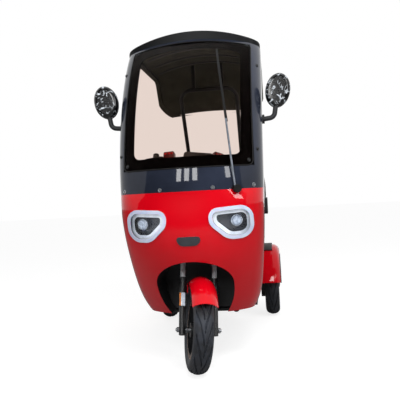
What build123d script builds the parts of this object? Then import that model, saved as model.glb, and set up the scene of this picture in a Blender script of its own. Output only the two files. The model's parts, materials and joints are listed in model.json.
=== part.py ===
from build123d import *
import math
import os

os.makedirs("parts", exist_ok=True)

# Covered electric tricycle. Millimetres, Z up from the ground, front towards -Y, the vehicle's left is +X.

# Overall layout
wheelbase = 1430.0
front_axle_y = -779.6
rear_track = 756.0
running_gap = 0.3
shaft_clearance = 0.05
rear_axle_y = front_axle_y + wheelbase
half_track = rear_track / 2

# Wheels
tyre_radius = 215.0
tyre_width = 100.0
tyre_shoulder_drop = 15.0
tyre_shoulder_half = 41.0
bead_radius = 132.0
bead_half = 34.0
flange_height = 10.0
flange_thickness = 6.0
rim_wall = 13.0
spoke_count = 5
spoke_width = 30.0
spoke_thickness = 16.0
hub_radius = 36.0
front_hub_half = 42.0
rear_hub_half = 42.0

# Steering
rake_deg = 24.0
steer_turn_deg = 16.0
fork_offset = 35.0
leg_spacing = 166.0
leg_radius = 17.0
leg_bottom = -26.0
leg_top = 268.0
stanchion_radius = 13.5
crown_height = 436.0
crown_thickness = 30.0
stem_radius = 15.0
head_tube_radius = 26.0
head_tube_length = 170.0
bar_height = 940.0
bar_radius = 11.0
bar_half_width = 300.0
bar_pull_back = 75.0
bar_rise = 35.0
front_axle_radius = 7.0

# Cab shell. Each row is a horizontal section; nose, side and back are distances behind the front axle.
cowl_wall = 6.0
frame_wall = 14.0
cowl_top = 912.0
screen_base = 1034.0
frame_top = 1795.0
cab_back = 330.0
# height, nose, half width, side start, corner radius, back
cowl_rows = [
    (272.0, 128.0, 286.0, 322.0, 130.0, cab_back),
    (330.0, 80.0, 316.0, 300.0, 150.0, cab_back),
    (430.0, 5.0, 338.0, 240.0, 160.0, cab_back),
    (570.0, -85.0, 352.0, 160.0, 160.0, cab_back),
    (740.0, -132.0, 364.0, 95.0, 160.0, cab_back),
    (cowl_top, -122.0, 371.0, 100.0, 160.0, cab_back),
]
frame_rows = [
    (cowl_top, -122.0, 371.0, 100.0, 160.0, cab_back),
    (screen_base, -108.0, 374.0, 118.0, 160.0, cab_back),
    (1250.0, -20.0, 379.0, 190.0, 155.0, 360.0),
    (1450.0, 92.0, 384.0, 305.0, 150.0, 455.0),
    (1620.0, 235.0, 387.0, 440.0, 140.0, 585.0),
    (frame_top, 455.0, 388.0, 640.0, 130.0, 770.0),
]

# Windscreen
glass_thickness = 6.0
glass_base = 1026.0
glass_half_base = 326.0
glass_half_top = 334.0
glass_corner_top = 1726.0
glass_crest = 1764.0
window_border = 56.0

# Roof
roof_crest = 1832.0
roof_half = 386.0
roof_depth = 49.0
roof_top_sag = 80.0
roof_under_sag = 58.0
roof_skin = 12.0
roof_rim = 26.0
roof_edge_round = 22.0
roof_front = 440.0
roof_front_sweep = 110.0
roof_front_corner = 80.0
roof_plan_over = 6.0
roof_bend = 1275.0
roof_bend_radius = 180.0
roof_end_height = 1475.0

# Lamps and badge on the cowl
lamp_x = 211.0
lamp_z = 757.0
lamp_ring_width = 18.0
lamp_ring_proud = 7.0
projector_radius = 27.0
projector_out = 22.0
projector_up = 3.0
badge_z = 673.0

# Arch in the cowl
arch_half = 198.0
arch_centre_z = 445.0
arch_rise = 122.0
arch_foot_half = 116.0

# Floor, seats and tub
floor_height = 285.0
floor_thickness = 14.0
floor_half = 300.0
deck_rear = 1048.0
seat_box_front = 765.0
seat_box_back = 1040.0
seat_box_half = 185.0
seat_box_top = 600.0
seat_box_wall = 6.0
cushion_thickness = 90.0
tub_front = 1090.0
tub_back = 1690.0
tub_half = 303.0
tub_base = 382.3
tub_top = 620.0
tub_wall = 6.0
tub_corner = 50.0
bench_half = 330.0
bench_thickness = 110.0

# Chassis
rail_x = 180.0
rail_radius = 20.0
rail_low_z = floor_height - floor_thickness - rail_radius - running_gap
rail_high_z = 362.0
axle_tube_radius = 30.0
motor_radius = 78.0
motor_half = 88.0
fender_gap = 70.0
fender_wall = 5.0


def keep(piece, name):
    piece.part.label = name
    export_step(piece.part, f"parts/{name}.step")


def behind(distance):
    return front_axle_y + distance


def cab_section(row, inset=0.0, extra_back=0.0):
    """Horizontal section of the cab: a nose arc, two corner arcs and straight sides to a flat back."""
    height, nose, half, side, corner, back = row
    tip = behind(nose) + inset
    edge = half - inset
    turn = corner - inset
    start = behind(side)
    rear = behind(back) + extra_back
    reach = start - tip
    nose_radius = ((edge - turn) ** 2 + reach**2 - turn**2) / (2 * (reach - turn))
    centre = Vector(0, tip + nose_radius)
    pivot = Vector(edge - turn, start)
    toward = (pivot - centre).normalized()
    meet = centre + toward * nose_radius
    middle = pivot + (toward + Vector(1, 0)).normalized() * turn
    with BuildSketch(Plane.XY.offset(height)) as section:
        with BuildLine():
            Polyline((-edge, start), (-edge, rear), (edge, rear), (edge, start))
            ThreePointArc((edge, start), (middle.X, middle.Y), (meet.X, meet.Y))
            ThreePointArc((meet.X, meet.Y), (0, tip), (-meet.X, meet.Y))
            ThreePointArc((-meet.X, meet.Y), (-middle.X, middle.Y), (-edge, start))
        make_face()
    return section.sketch


def cab_sections(rows, inset=0.0, extra_back=0.0):
    return [cab_section(row, inset, extra_back) for row in rows]


with BuildPart() as cab_blank:
    loft(cab_sections(frame_rows))


def screen_y(x, z):
    """Y of the cab's outer face, between the cowl's top and the roof."""
    hits = cab_blank.part.find_intersection_points(Axis((x, behind(-400.0), z), (0, 1, 0)))
    return min(point.Y for point, normal in hits)


def pillar_x(y, z):
    """X of the cab's outer side face on the vehicle's left."""
    hits = cab_blank.part.find_intersection_points(Axis((0, y, z), (1, 0, 0)))
    return max(point.X for point, normal in hits)


front_view = Plane.XZ.offset(-behind(-300.0))
front_view_depth = 1200.0


def bent_bar(points, radius, bend, mode=Mode.ADD):
    """Round bar or tube outline along straight runs joined by arcs."""
    with BuildLine() as route:
        FilletPolyline(*points, radius=bend)
    with BuildSketch(Plane(origin=route.line @ 0, z_dir=route.line % 0)) as section:
        Circle(radius)
    sweep(section.sketch, path=route.wires()[0], mode=mode)


# Front cowl: red shell with the wheel arch, lamp openings and badge seat
def arch_face(grow=0.0):
    with BuildSketch(front_view) as arch:
        with BuildLine():
            top = arch_centre_z + arch_rise + grow
            half = arch_half + grow
            foot = arch_foot_half + grow
            low = cowl_rows[0][0] - 40.0
            knee = (half + foot) / 2 + (half - foot) * 0.3
            low_mid = (arch_centre_z + low) / 2
            EllipticalCenterArc((0, arch_centre_z), half, top - arch_centre_z, arc_size=180)
            ThreePointArc((-half, arch_centre_z), (-knee, low_mid), (-foot, low))
            Line((-foot, low), (foot, low))
            ThreePointArc((foot, low), (knee, low_mid), (half, arch_centre_z))
        make_face()
    return arch.sketch


# lamp outline corners: outward, up, fillet radius
lamp_corners = [
    (-112.0, 66.0, 46.0),
    (103.0, 80.0, 62.0),
    (107.0, -84.0, 72.0),
    (-22.0, -88.0, 80.0),
    (-105.0, -12.0, 60.0),
]
# badge outline corners: across, up, fillet radius
badge_corners = [(-62.0, 20.0, 14.0), (62.0, 20.0, 14.0), (50.0, -25.0, 32.0), (-50.0, -25.0, 32.0)]


def lamp_face(side, grow=0.0):
    with BuildSketch(front_view) as lamp:
        with BuildLine():
            points = [(side * (lamp_x + out), lamp_z + up) for out, up, radius in lamp_corners]
            FilletPolyline(*points, radius=[radius for out, up, radius in lamp_corners], close=True)
        make_face()
        if grow:
            offset(amount=grow)
    return lamp.sketch


def badge_face():
    with BuildSketch(front_view) as badge:
        with BuildLine():
            points = [(across, badge_z + up) for across, up, radius in badge_corners]
            FilletPolyline(*points, radius=[radius for across, up, radius in badge_corners], close=True)
        make_face()
    return badge.sketch


with BuildPart() as front_cowl:
    loft(cab_sections(cowl_rows))
    loft(cab_sections(cowl_rows, cowl_wall, 40.0), mode=Mode.SUBTRACT)
    extrude(arch_face(), amount=-front_view_depth, mode=Mode.SUBTRACT)
    for side in (-1, 1):
        extrude(lamp_face(side, running_gap), amount=-500.0, mode=Mode.SUBTRACT)
keep(front_cowl, "front_cowl")

# Headlamps: frosted ring, stepped bowl, projector and clear lens, all following the cowl's curve
lamp_depth = 62.0
lamp_reach = 385.0
ledge_depth = 22.0
ledge_width = 17.0
lens_thickness = 3.0


def cowl_layer(outer, inner):
    """Layer of the cowl's form between two depths below its face."""
    loft(cab_sections(cowl_rows, outer))
    loft(cab_sections(cowl_rows, inner, 40.0), mode=Mode.SUBTRACT)


def lamp_pieces(name, outer, inner, grow_out, grow_in):
    with BuildPart() as layer:
        cowl_layer(outer, inner)
        with BuildPart(mode=Mode.PRIVATE) as rims:
            for side in (-1, 1):
                extrude(lamp_face(side, grow_out), amount=-500.0)
                if grow_in is not None:
                    extrude(lamp_face(side, grow_in), amount=-500.0, mode=Mode.SUBTRACT)
        add(rims.part, mode=Mode.INTERSECT)
    keep(layer, name)


inner_edge = -lamp_ring_width
lamp_pieces("headlamp_rings", -lamp_ring_proud, cowl_wall, 0.0, inner_edge)
lamp_pieces("headlamp_lenses", -2.0, lens_thickness, inner_edge - running_gap, None)

with BuildPart() as headlamp_bowls:
    cowl_layer(cowl_wall + running_gap, lamp_depth)
    with BuildPart(mode=Mode.PRIVATE) as cup_blocks:
        for side in (-1, 1):
            extrude(lamp_face(side, -6.0), amount=-lamp_reach)
    add(cup_blocks.part, mode=Mode.INTERSECT)
    with BuildPart(mode=Mode.PRIVATE) as cup_hollows:
        cowl_layer(cowl_wall - 4.0, lamp_depth - 14.0)
        with BuildPart(mode=Mode.PRIVATE) as hollow_blocks:
            for side in (-1, 1):
                extrude(lamp_face(side, inner_edge), amount=-500.0)
        add(hollow_blocks.part, mode=Mode.INTERSECT)
        with BuildPart(mode=Mode.PRIVATE) as ledges:
            cowl_layer(ledge_depth, lamp_depth)
            with BuildPart(mode=Mode.PRIVATE) as eye_blocks:
                for side in (-1, 1):
                    extrude(lamp_face(side, inner_edge - ledge_width), amount=-500.0)
            add(eye_blocks.part, mode=Mode.SUBTRACT)
        add(ledges.part, mode=Mode.SUBTRACT)
    add(cup_hollows.part, mode=Mode.SUBTRACT)
keep(headlamp_bowls, "headlamp_bowls")

with BuildPart() as headlamp_projectors:
    cowl_layer(18.0, lamp_depth - 14.0 - running_gap)
    with BuildPart(mode=Mode.PRIVATE) as barrels:
        with BuildSketch(front_view) as barrel_rings:
            for side in (-1, 1):
                with Locations((side * (lamp_x + projector_out), lamp_z + projector_up)):
                    Circle(projector_radius)
        extrude(barrel_rings.sketch, amount=-lamp_reach)
    add(barrels.part, mode=Mode.INTERSECT)
keep(headlamp_projectors, "headlamp_projectors")

with BuildPart() as nose_badge:
    cowl_layer(-5.0, -running_gap)
    extrude(badge_face(), amount=-500.0, mode=Mode.INTERSECT)
keep(nose_badge, "nose_badge")

# Roof: a crowned panel that runs back and drops behind the bench
def roof_profile(side_inset=0.0, top_inset=0.0, under_extra=0.0, rounding=0.0):
    half = roof_half - side_inset
    share = (half / roof_half) ** 2
    crest = roof_crest - top_inset
    side_top = crest - roof_top_sag * share
    under = roof_crest - roof_depth - under_extra
    side_under = under - roof_under_sag * share
    with BuildSketch(Plane.XZ.offset(-behind(roof_front))) as profile:
        with BuildLine():
            ThreePointArc((-half, side_top), (0, crest), (half, side_top))
            Line((half, side_top), (half, side_under))
            ThreePointArc((half, side_under), (0, under), (-half, side_under))
            Line((-half, side_under), (-half, side_top))
        make_face()
        if rounding:
            fillet([corner for corner in profile.vertices() if abs(corner.Y - side_top) < 1.0], radius=rounding)
    return profile.sketch


roof_drop_deg = 57.0
roof_drop_length = 260.0
bend_axis = Axis((0, behind(roof_bend), roof_crest - roof_bend_radius), (-1, 0, 0))


def roof_run(section):
    """Carry a cross-section back from the roof's front edge, round the bend and down the drop."""
    extrude(section, amount=-(roof_bend - roof_front))
    at_bend = section.moved(Location((0, roof_bend - roof_front, 0)))
    revolve(at_bend, axis=bend_axis, revolution_arc=roof_drop_deg)
    extrude(at_bend.rotate(bend_axis, roof_drop_deg), amount=-roof_drop_length)


def roof_plan(inset=0.0):
    sweep_start = roof_front + roof_front_sweep
    plan_half = roof_half + roof_plan_over
    row = (1000.0, roof_front, plan_half, sweep_start, roof_front_corner, roof_bend + 500.0)
    return cab_section(row, inset)


def roof_end_face(inset=0.0):
    half = roof_half + 10.0 - inset
    with BuildSketch(front_view) as end:
        with BuildLine():
            low = roof_end_height + inset
            top = roof_crest + 400.0
            corners = [(-half, top), (-half, low), (half, low), (half, top)]
            FilletPolyline(*corners, radius=[0, 150.0, 150.0, 0], close=True)
        make_face()
    return end.sketch


roof_height_span = 1200.0
with BuildPart() as roof_blank:
    roof_run(roof_profile(rounding=roof_edge_round))
    extrude(roof_plan(), amount=roof_height_span, mode=Mode.INTERSECT)

with BuildPart() as roof_hollow:
    roof_run(roof_profile(roof_rim, roof_skin, 40.0))
    extrude(roof_plan(roof_rim), amount=roof_height_span, mode=Mode.INTERSECT)
    extrude(roof_end_face(roof_rim), amount=-4 * front_view_depth, mode=Mode.INTERSECT)

with BuildPart() as roof:
    add(roof_blank.part)
    extrude(roof_end_face(), amount=-4 * front_view_depth, mode=Mode.INTERSECT)
    add(roof_hollow.part, mode=Mode.SUBTRACT)
keep(roof, "roof")

# Screen frame: band, pillars and head rail in one moulding, with a pocket for the glass
def glass_face(grow=0.0):
    base = glass_base - grow
    with BuildSketch(front_view) as pane:
        with BuildLine():
            Polyline(
                (-glass_half_top - grow, glass_corner_top + grow),
                (-glass_half_base - grow, base),
                (glass_half_base + grow, base),
                (glass_half_top + grow, glass_corner_top + grow),
            )
            ThreePointArc(
                (glass_half_top + grow, glass_corner_top + grow),
                (0, glass_crest + grow),
                (-glass_half_top - grow, glass_corner_top + grow),
            )
        make_face()
        fillet(pane.vertices(), radius=max(26.0 + grow, 8.0))
    return pane.sketch


with BuildPart() as windscreen:
    loft(cab_sections(frame_rows))
    loft(cab_sections(frame_rows, glass_thickness, 60.0), mode=Mode.SUBTRACT)
    extrude(glass_face(), amount=-front_view_depth, mode=Mode.INTERSECT)
keep(windscreen, "windscreen")

with BuildPart() as glass_pocket:
    loft(cab_sections(frame_rows, -8.0))
    loft(cab_sections(frame_rows, glass_thickness + running_gap, 60.0), mode=Mode.SUBTRACT)
    extrude(glass_face(running_gap), amount=-front_view_depth, mode=Mode.INTERSECT)

with BuildPart() as roof_seat:
    extrude(roof_profile(-20.0, -140.0, running_gap), amount=-(roof_bend - roof_front))

with BuildPart() as screen_frame:
    add(cab_blank.part)
    loft(cab_sections(frame_rows, frame_wall, 60.0), mode=Mode.SUBTRACT)
    add(glass_pocket.part, mode=Mode.SUBTRACT)
    extrude(glass_face(-window_border), amount=-front_view_depth, mode=Mode.SUBTRACT)
    add(roof_seat.part, mode=Mode.SUBTRACT)
keep(screen_frame, "screen_frame")

# Wheel well: arch-shaped side walls and a back plate behind the front wheel
well_wall = 4.0
well_back = 312.0
with BuildPart() as wheel_well:
    loft(cab_sections(cowl_rows, cowl_wall + running_gap, 40.0))
    with BuildPart(mode=Mode.PRIVATE) as well_tube:
        extrude(arch_face(well_wall + running_gap), amount=-(well_back + 300.0))
        extrude(arch_face(running_gap), amount=-(well_back + 300.0 - well_wall), mode=Mode.SUBTRACT)
        with Locations((0, behind(60.0), arch_centre_z + arch_rise)):
            Box(250.0, 700.0, 90.0, mode=Mode.SUBTRACT)
        with Locations((0, behind(well_back), 250.0)):
            Box(500.0, 60.0, 44.0, mode=Mode.SUBTRACT)
    add(well_tube.part, mode=Mode.INTERSECT)
keep(wheel_well, "wheel_well")

# Dash panel: wall behind the cowl, shelf up to the screen band and a hollow steering tunnel
dash_front = 320.0
dash_thickness = 6.0
shelf_height = 985.0
tunnel_half = 92.0
tunnel_back = 432.0
tunnel_top = 945.0
column_hole = 30.0
column_hole_y = 32.0 + (tunnel_top - 201.0) * math.tan(math.radians(rake_deg))
with BuildPart() as dash_limit:
    loft(cab_sections(cowl_rows, cowl_wall + running_gap, 400.0))
    loft(cab_sections(frame_rows, frame_wall + running_gap, 400.0))
with BuildPart() as dash_panel:
    wall_height = shelf_height - floor_height - running_gap
    with Locations((0, behind(dash_front + dash_thickness / 2), shelf_height - wall_height / 2)):
        Box(800.0, dash_thickness, wall_height)
    with Locations((0, behind(dash_front + dash_thickness - 300.0), shelf_height - dash_thickness / 2)):
        Box(800.0, 600.0, dash_thickness)
    tunnel_height = tunnel_top - floor_height - running_gap
    tunnel_length = tunnel_back - dash_front
    with Locations((0, behind(dash_front + tunnel_length / 2), tunnel_top - tunnel_height / 2)):
        Box(2 * tunnel_half, tunnel_length, tunnel_height)
    with Locations((0, behind(dash_front + tunnel_length / 2 - 10.0), tunnel_top - tunnel_height / 2 - 5.0)):
        Box(2 * tunnel_half - 10.0, tunnel_length + 10.0, tunnel_height, mode=Mode.SUBTRACT)
    with Locations((0, behind(column_hole_y), tunnel_top)):
        Cylinder(column_hole, 40.0, mode=Mode.SUBTRACT)
    column_slot = Box(2 * column_hole, 140.0, 120.0, mode=Mode.PRIVATE)
    add(column_slot.moved(Location((0, behind(390.0), shelf_height))), mode=Mode.SUBTRACT)
    add(dash_limit.part, mode=Mode.INTERSECT)
keep(dash_panel, "dash_panel")

# Floor deck
with BuildPart() as floor_deck:
    deck_front = dash_front - dash_thickness
    deck_length = deck_rear - deck_front
    with Locations((0, behind(deck_front + deck_length / 2), floor_height - floor_thickness / 2)):
        Box(2 * floor_half, deck_length, floor_thickness)
    fillet(floor_deck.edges().filter_by(Axis.Z).group_by(Axis.Y)[-1], radius=40.0)
    with Locations((0, behind(deck_front), floor_height)):
        Box(2 * 60.0, 172.0, 60.0, mode=Mode.SUBTRACT)
    for side in (-1, 1):
        with Locations((side * floor_half, behind(deck_front), floor_height)):
            Box(2 * 70.0, 2 * 18.0, 60.0, mode=Mode.SUBTRACT)
keep(floor_deck, "floor_deck")

# Driver's seat: hollow box, battery, hinged cushion and backrest
hinge_radius = 8.0
hinge_pin = 4.0
hinge_y = behind(seat_box_front - 16.0)
hinge_z = seat_box_top - 2.0
seat_depth = seat_box_back - seat_box_front
seat_mid = behind(seat_box_front + seat_depth / 2)
box_height = seat_box_top - floor_height - running_gap
with BuildPart() as seat_box:
    with BuildSketch(Plane.XY.offset(seat_box_top - box_height)):
        with Locations((0, seat_mid)):
            RectangleRounded(2 * seat_box_half, seat_depth, 22.0)
            inner_width = 2 * (seat_box_half - seat_box_wall)
            inner_depth = seat_depth - 2 * seat_box_wall
            RectangleRounded(inner_width, inner_depth, 22.0 - seat_box_wall, mode=Mode.SUBTRACT)
    extrude(amount=box_height)
    with Locations((-110.0, hinge_y, hinge_z), (110.0, hinge_y, hinge_z)):
        Cylinder(hinge_radius, 40.0, rotation=(0, 90, 0))
    with Locations((-110.0, hinge_y + 11.0, hinge_z - 3.0), (110.0, hinge_y + 11.0, hinge_z - 3.0)):
        Box(40.0, 22.0, 10.0)
    with Locations((0, hinge_y, hinge_z)):
        Cylinder(hinge_pin, 220.0, rotation=(0, 90, 0))
keep(seat_box, "seat_box")

with BuildPart() as battery_pack:
    with Locations((0, seat_mid, floor_height + running_gap + 110.0)):
        Box(320.0, 210.0, 220.0)
keep(battery_pack, "battery_pack")

cushion_front = behind(seat_box_front - 6.0)
cushion_back = behind(seat_box_back - 4.0)
cushion_mid = (cushion_front + cushion_back) / 2
with BuildPart() as driver_cushion:
    with Locations((0, cushion_mid, seat_box_top + running_gap + cushion_thickness / 2)):
        Box(392.0, cushion_back - cushion_front, cushion_thickness)
    fillet(driver_cushion.edges().filter_by(Axis.Z), radius=45.0)
    fillet(driver_cushion.faces().sort_by(Axis.Z)[-1].edges(), radius=26.0)
    with Locations((0, hinge_y, hinge_z)):
        Cylinder(hinge_radius, 178.0, rotation=(0, 90, 0))
    with Locations((0, (hinge_y + cushion_front + 60.0) / 2, seat_box_top + running_gap + 3.0)):
        Box(178.0, cushion_front + 60.0 - hinge_y, 6.0)
    with Locations((0, hinge_y, hinge_z)):
        Cylinder(hinge_pin + shaft_clearance, 220.0, rotation=(0, 90, 0), mode=Mode.SUBTRACT)
keep(driver_cushion, "driver_cushion")

bracket_thickness = 8.0
bracket_front = behind(seat_box_back + running_gap)
with BuildPart() as backrest_brackets:
    for side in (-1, 1):
        with Locations((side * 115.0, bracket_front + bracket_thickness / 2, 660.0)):
            Box(40.0, bracket_thickness, 520.0)
keep(backrest_brackets, "backrest_brackets")

with BuildPart() as driver_backrest:
    pad_depth = 55.0
    with Locations((0, bracket_front + bracket_thickness + running_gap + pad_depth / 2, 840.0)):
        Box(350.0, pad_depth, 240.0)
    fillet(driver_backrest.edges().filter_by(Axis.Y), radius=60.0)
    fillet(driver_backrest.faces().sort_by(Axis.Y)[0].edges(), radius=18.0)
keep(driver_backrest, "driver_backrest")

# Rear tub and passenger bench
tub_mid = behind((tub_front + tub_back) / 2)
tub_length = tub_back - tub_front
tub_height = tub_top - tub_base
with BuildPart() as rear_tub:
    with BuildSketch(Plane.XY.offset(tub_base)):
        with Locations((0, tub_mid)):
            RectangleRounded(2 * tub_half, tub_length, tub_corner)
    extrude(amount=tub_height)
    with BuildSketch(Plane.XY.offset(tub_base + tub_wall)):
        with Locations((0, tub_mid)):
            RectangleRounded(2 * (tub_half - tub_wall), tub_length - 2 * tub_wall, tub_corner - tub_wall)
    extrude(amount=tub_height, mode=Mode.SUBTRACT)
keep(rear_tub, "rear_tub")

hoop_x = 200.0
hoop_y = 1588.0
hoop_radius = 14.0
bench_front = tub_front + 8.0
bench_back = hoop_y - hoop_radius - running_gap
with BuildPart() as passenger_cushion:
    cushion_length = 372.0
    bench_mid_z = tub_top + running_gap + bench_thickness / 2
    with Locations((0, behind(bench_front + cushion_length / 2), bench_mid_z)):
        Box(2 * bench_half, cushion_length, bench_thickness)
    fillet(passenger_cushion.edges().filter_by(Axis.Z), radius=50.0)
    fillet(passenger_cushion.faces().sort_by(Axis.Z)[-1].edges(), radius=30.0)
keep(passenger_cushion, "passenger_cushion")

backrest_thickness = 95.0
with BuildPart() as passenger_backrest:
    with Locations((0, behind(bench_back - backrest_thickness / 2), 905.0)):
        Box(2 * 368.0, backrest_thickness, 340.0)
    fillet(passenger_backrest.edges().filter_by(Axis.Y), radius=80.0)
    fillet(passenger_backrest.faces().sort_by(Axis.Y)[0].edges(), radius=30.0)
keep(passenger_backrest, "passenger_backrest")

with BuildPart() as armrests:
    arm_mid = behind(bench_front + 190.0)
    for side in (-1, 1):
        with Locations((side * 356.0, arm_mid, 795.0)):
            Box(44.0, 330.0, 110.0)
    fillet(armrests.edges().filter_by(Axis.X), radius=28.0)
    for side in (-1, 1):
        with Locations((side * (bench_half + 9.0), arm_mid, 665.0)):
            Box(10.0, 160.0, 200.0)
        foot_width = bench_half + 14.0 - tub_half - running_gap
        with Locations((side * (tub_half + running_gap + foot_width / 2), arm_mid, 572.0)):
            Box(foot_width, 160.0, 14.0)
keep(armrests, "armrests")

# Roof hoop: bent tube from the tub to the roof, with foot plates and straps
hoop_base = tub_top + running_gap
hoop_knee_z = 1150.0
hoop_top_y = 1258.0
hoop_top_z = 1640.0
with BuildPart() as roof_hoop:
    hoop_points = [
        (-hoop_x, behind(hoop_y), hoop_base),
        (-hoop_x, behind(hoop_y), hoop_knee_z),
        (-hoop_x, behind(hoop_top_y), hoop_top_z),
        (hoop_x, behind(hoop_top_y), hoop_top_z),
        (hoop_x, behind(hoop_y), hoop_knee_z),
        (hoop_x, behind(hoop_y), hoop_base),
    ]
    bent_bar(hoop_points, hoop_radius, 80.0)
    with Locations((-hoop_x, behind(hoop_y), hoop_base + 4.0), (hoop_x, behind(hoop_y), hoop_base + 4.0)):
        Box(90.0, 70.0, 8.0)
    strap_x = 100.0
    strap_width = 24.0
    strap_sag = roof_top_sag * ((strap_x + strap_width / 2) / roof_half) ** 2
    strap_top = roof_crest - roof_skin - strap_sag - running_gap
    strap_length = strap_top - hoop_top_z
    for side in (-1, 1):
        with Locations((side * strap_x, behind(hoop_top_y), hoop_top_z + strap_length / 2)):
            Box(strap_width, 20.0, strap_length)
keep(roof_hoop, "roof_hoop")

# Tub top bar: closes the tub behind the bench and carries the hoop's feet
with BuildPart() as tub_lid:
    lid_front = bench_front + cushion_length + 6.0
    lid_length = tub_back - tub_wall - 1.0 - lid_front
    with Locations((0, behind(lid_front + lid_length / 2), tub_top - 5.0)):
        Box(2 * (tub_half - tub_wall - running_gap), lid_length, 10.0)
    fillet(tub_lid.edges().filter_by(Axis.Z).group_by(Axis.Y)[-1], radius=tub_corner - tub_wall)
keep(tub_lid, "tub_lid")

# Rear fenders with black caps and edge strips
fender_radius = tyre_radius + fender_gap
fender_inner_x = tub_half + running_gap
fender_outer_x = 442.0
fender_skirt = 86.0
fender_round = 45.0
fender_start_deg = 10.0
fender_arc_deg = 148.0
rear_axle = Axis((0, rear_axle_y, tyre_radius), (-1, 0, 0))


def fender_band(side, points, rounding, start_deg, arc_deg, mode=Mode.ADD):
    """Revolve a section given as (x, radius) points about the rear axle, from the front lip over the top."""
    start = math.radians(start_deg)
    up = Vector(0, -math.cos(start), math.sin(start))
    plane = Plane(origin=(0, rear_axle_y, tyre_radius), x_dir=(1, 0, 0), z_dir=Vector(1, 0, 0).cross(up))
    with BuildSketch(plane) as section:
        with BuildLine():
            FilletPolyline(*[(side * x, radius) for x, radius in points], radius=rounding, close=True)
        make_face()
    revolve(section.sketch, axis=rear_axle, revolution_arc=arc_deg, mode=mode)


fender_top = fender_radius + fender_wall
fender_section = [
    (fender_inner_x, fender_radius - 20.0),
    (fender_inner_x, fender_top),
    (fender_outer_x, fender_top),
    (fender_outer_x, fender_radius - fender_skirt),
    (fender_outer_x - fender_wall, fender_radius - fender_skirt),
    (fender_outer_x - fender_wall, fender_radius),
    (fender_inner_x + fender_wall, fender_radius),
    (fender_inner_x + fender_wall, fender_radius - 20.0),
]
fender_rounding = [1.0, 6.0, fender_round, 1.0, 1.0, fender_round - fender_wall, 2.0, 1.0]
with BuildPart() as rear_fenders:
    for side in (-1, 1):
        fender_band(side, fender_section, fender_rounding, fender_start_deg, fender_arc_deg)
keep(rear_fenders, "rear_fenders")

cap_section = [
    (fender_inner_x + 14.0, fender_top + running_gap),
    (fender_inner_x + 14.0, fender_top + 10.0),
    (fender_outer_x - fender_round - 4.0, fender_top + 10.0),
    (fender_outer_x - fender_round - 4.0, fender_top + running_gap),
]
with BuildPart() as fender_caps:
    for side in (-1, 1):
        fender_band(side, cap_section, [0.1, 3.0, 3.0, 0.1], 62.0, 46.0)
keep(fender_caps, "fender_caps")

edge_section = [
    (fender_outer_x + running_gap, fender_radius - fender_skirt),
    (fender_outer_x + running_gap, fender_radius - fender_skirt + 20.0),
    (fender_outer_x + 5.0, fender_radius - fender_skirt + 18.0),
    (fender_outer_x + 5.0, fender_radius - fender_skirt),
]
with BuildPart() as fender_edges:
    for side in (-1, 1):
        fender_band(side, edge_section, [0.1, 0.5, 1.5, 1.5], fender_start_deg, fender_arc_deg)
keep(fender_edges, "fender_edges")

# Chassis: two rails, cross tubes, head tube with down tube
rail_front = 352.0
rail_rear = tub_back - 20.0
with BuildPart() as chassis_rails:
    for side in (-1, 1):
        rail_points = [
            (side * rail_x, behind(rail_front), rail_low_z),
            (side * rail_x, behind(deck_rear + 34.0), rail_low_z),
            (side * rail_x, behind(deck_rear + 112.0), rail_high_z),
            (side * rail_x, behind(rail_rear), rail_high_z),
        ]
        bent_bar(rail_points, rail_radius, 60.0)
keep(chassis_rails, "chassis_rails")

cross_radius = 16.0
# distance behind the front axle, height
cross_rows = [(352.0 + 22.0, rail_low_z), (760.0, rail_low_z), (1040.0, rail_low_z), (1640.0, rail_high_z)]
with BuildPart() as cross_tubes:
    cross_half = rail_x - rail_radius - running_gap
    for distance, height in cross_rows:
        with Locations((0, behind(distance), height)):
            Cylinder(cross_radius, 2 * cross_half, rotation=(0, 90, 0))
keep(cross_tubes, "cross_tubes")

# Steering geometry: the assembly rests turned to the vehicle's left about the raked head axis
rake = math.radians(rake_deg)
turn = math.radians(steer_turn_deg)
steer_up = Vector(0, math.sin(rake), math.cos(rake))
straight_side = Vector(1, 0, 0)
straight_back = steer_up.cross(straight_side)
axle_side = straight_side * math.cos(turn) + straight_back * math.sin(turn)
axle_back = steer_up.cross(axle_side)
tyre_crown = (tyre_shoulder_half**2 + tyre_shoulder_drop**2) / (2 * tyre_shoulder_drop)
lean = math.asin(abs(axle_side.Z))
axle_height = (tyre_radius - tyre_crown) * math.cos(lean) + tyre_crown
straight_foot = Vector(0, front_axle_y, tyre_radius) + straight_back * fork_offset
axle_guess = straight_foot - axle_back * fork_offset
steer_foot = straight_foot + Vector(0, 0, axle_height - axle_guess.Z)
front_axle_point = steer_foot - axle_back * fork_offset
steer_plane = Plane(origin=steer_foot, x_dir=axle_side, z_dir=steer_up)
head_base = crown_height + crown_thickness + 8.0


def steered(x, y, z):
    return steer_plane.from_local_coords((x, y, z))


with BuildPart() as head_tube:
    head_plane = Plane(origin=steer_foot + steer_up * head_base, x_dir=(1, 0, 0), z_dir=steer_up)
    with BuildSketch(head_plane) as head_ring:
        Circle(head_tube_radius)
    extrude(head_ring.sketch, amount=head_tube_length)
    neck = steer_foot + steer_up * (head_base + head_tube_length * 0.55)
    bent_bar(
        [
            (0, neck.Y, neck.Z),
            (0, behind(372.0), neck.Z - 150.0),
            (0, behind(372.0), rail_low_z + cross_radius + running_gap),
        ],
        18.0,
        60.0,
    )
    with BuildSketch(head_plane) as head_bore:
        Circle(stem_radius + shaft_clearance)
    extrude(head_bore.sketch, amount=head_tube_length, mode=Mode.SUBTRACT)
keep(head_tube, "head_tube")

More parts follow.
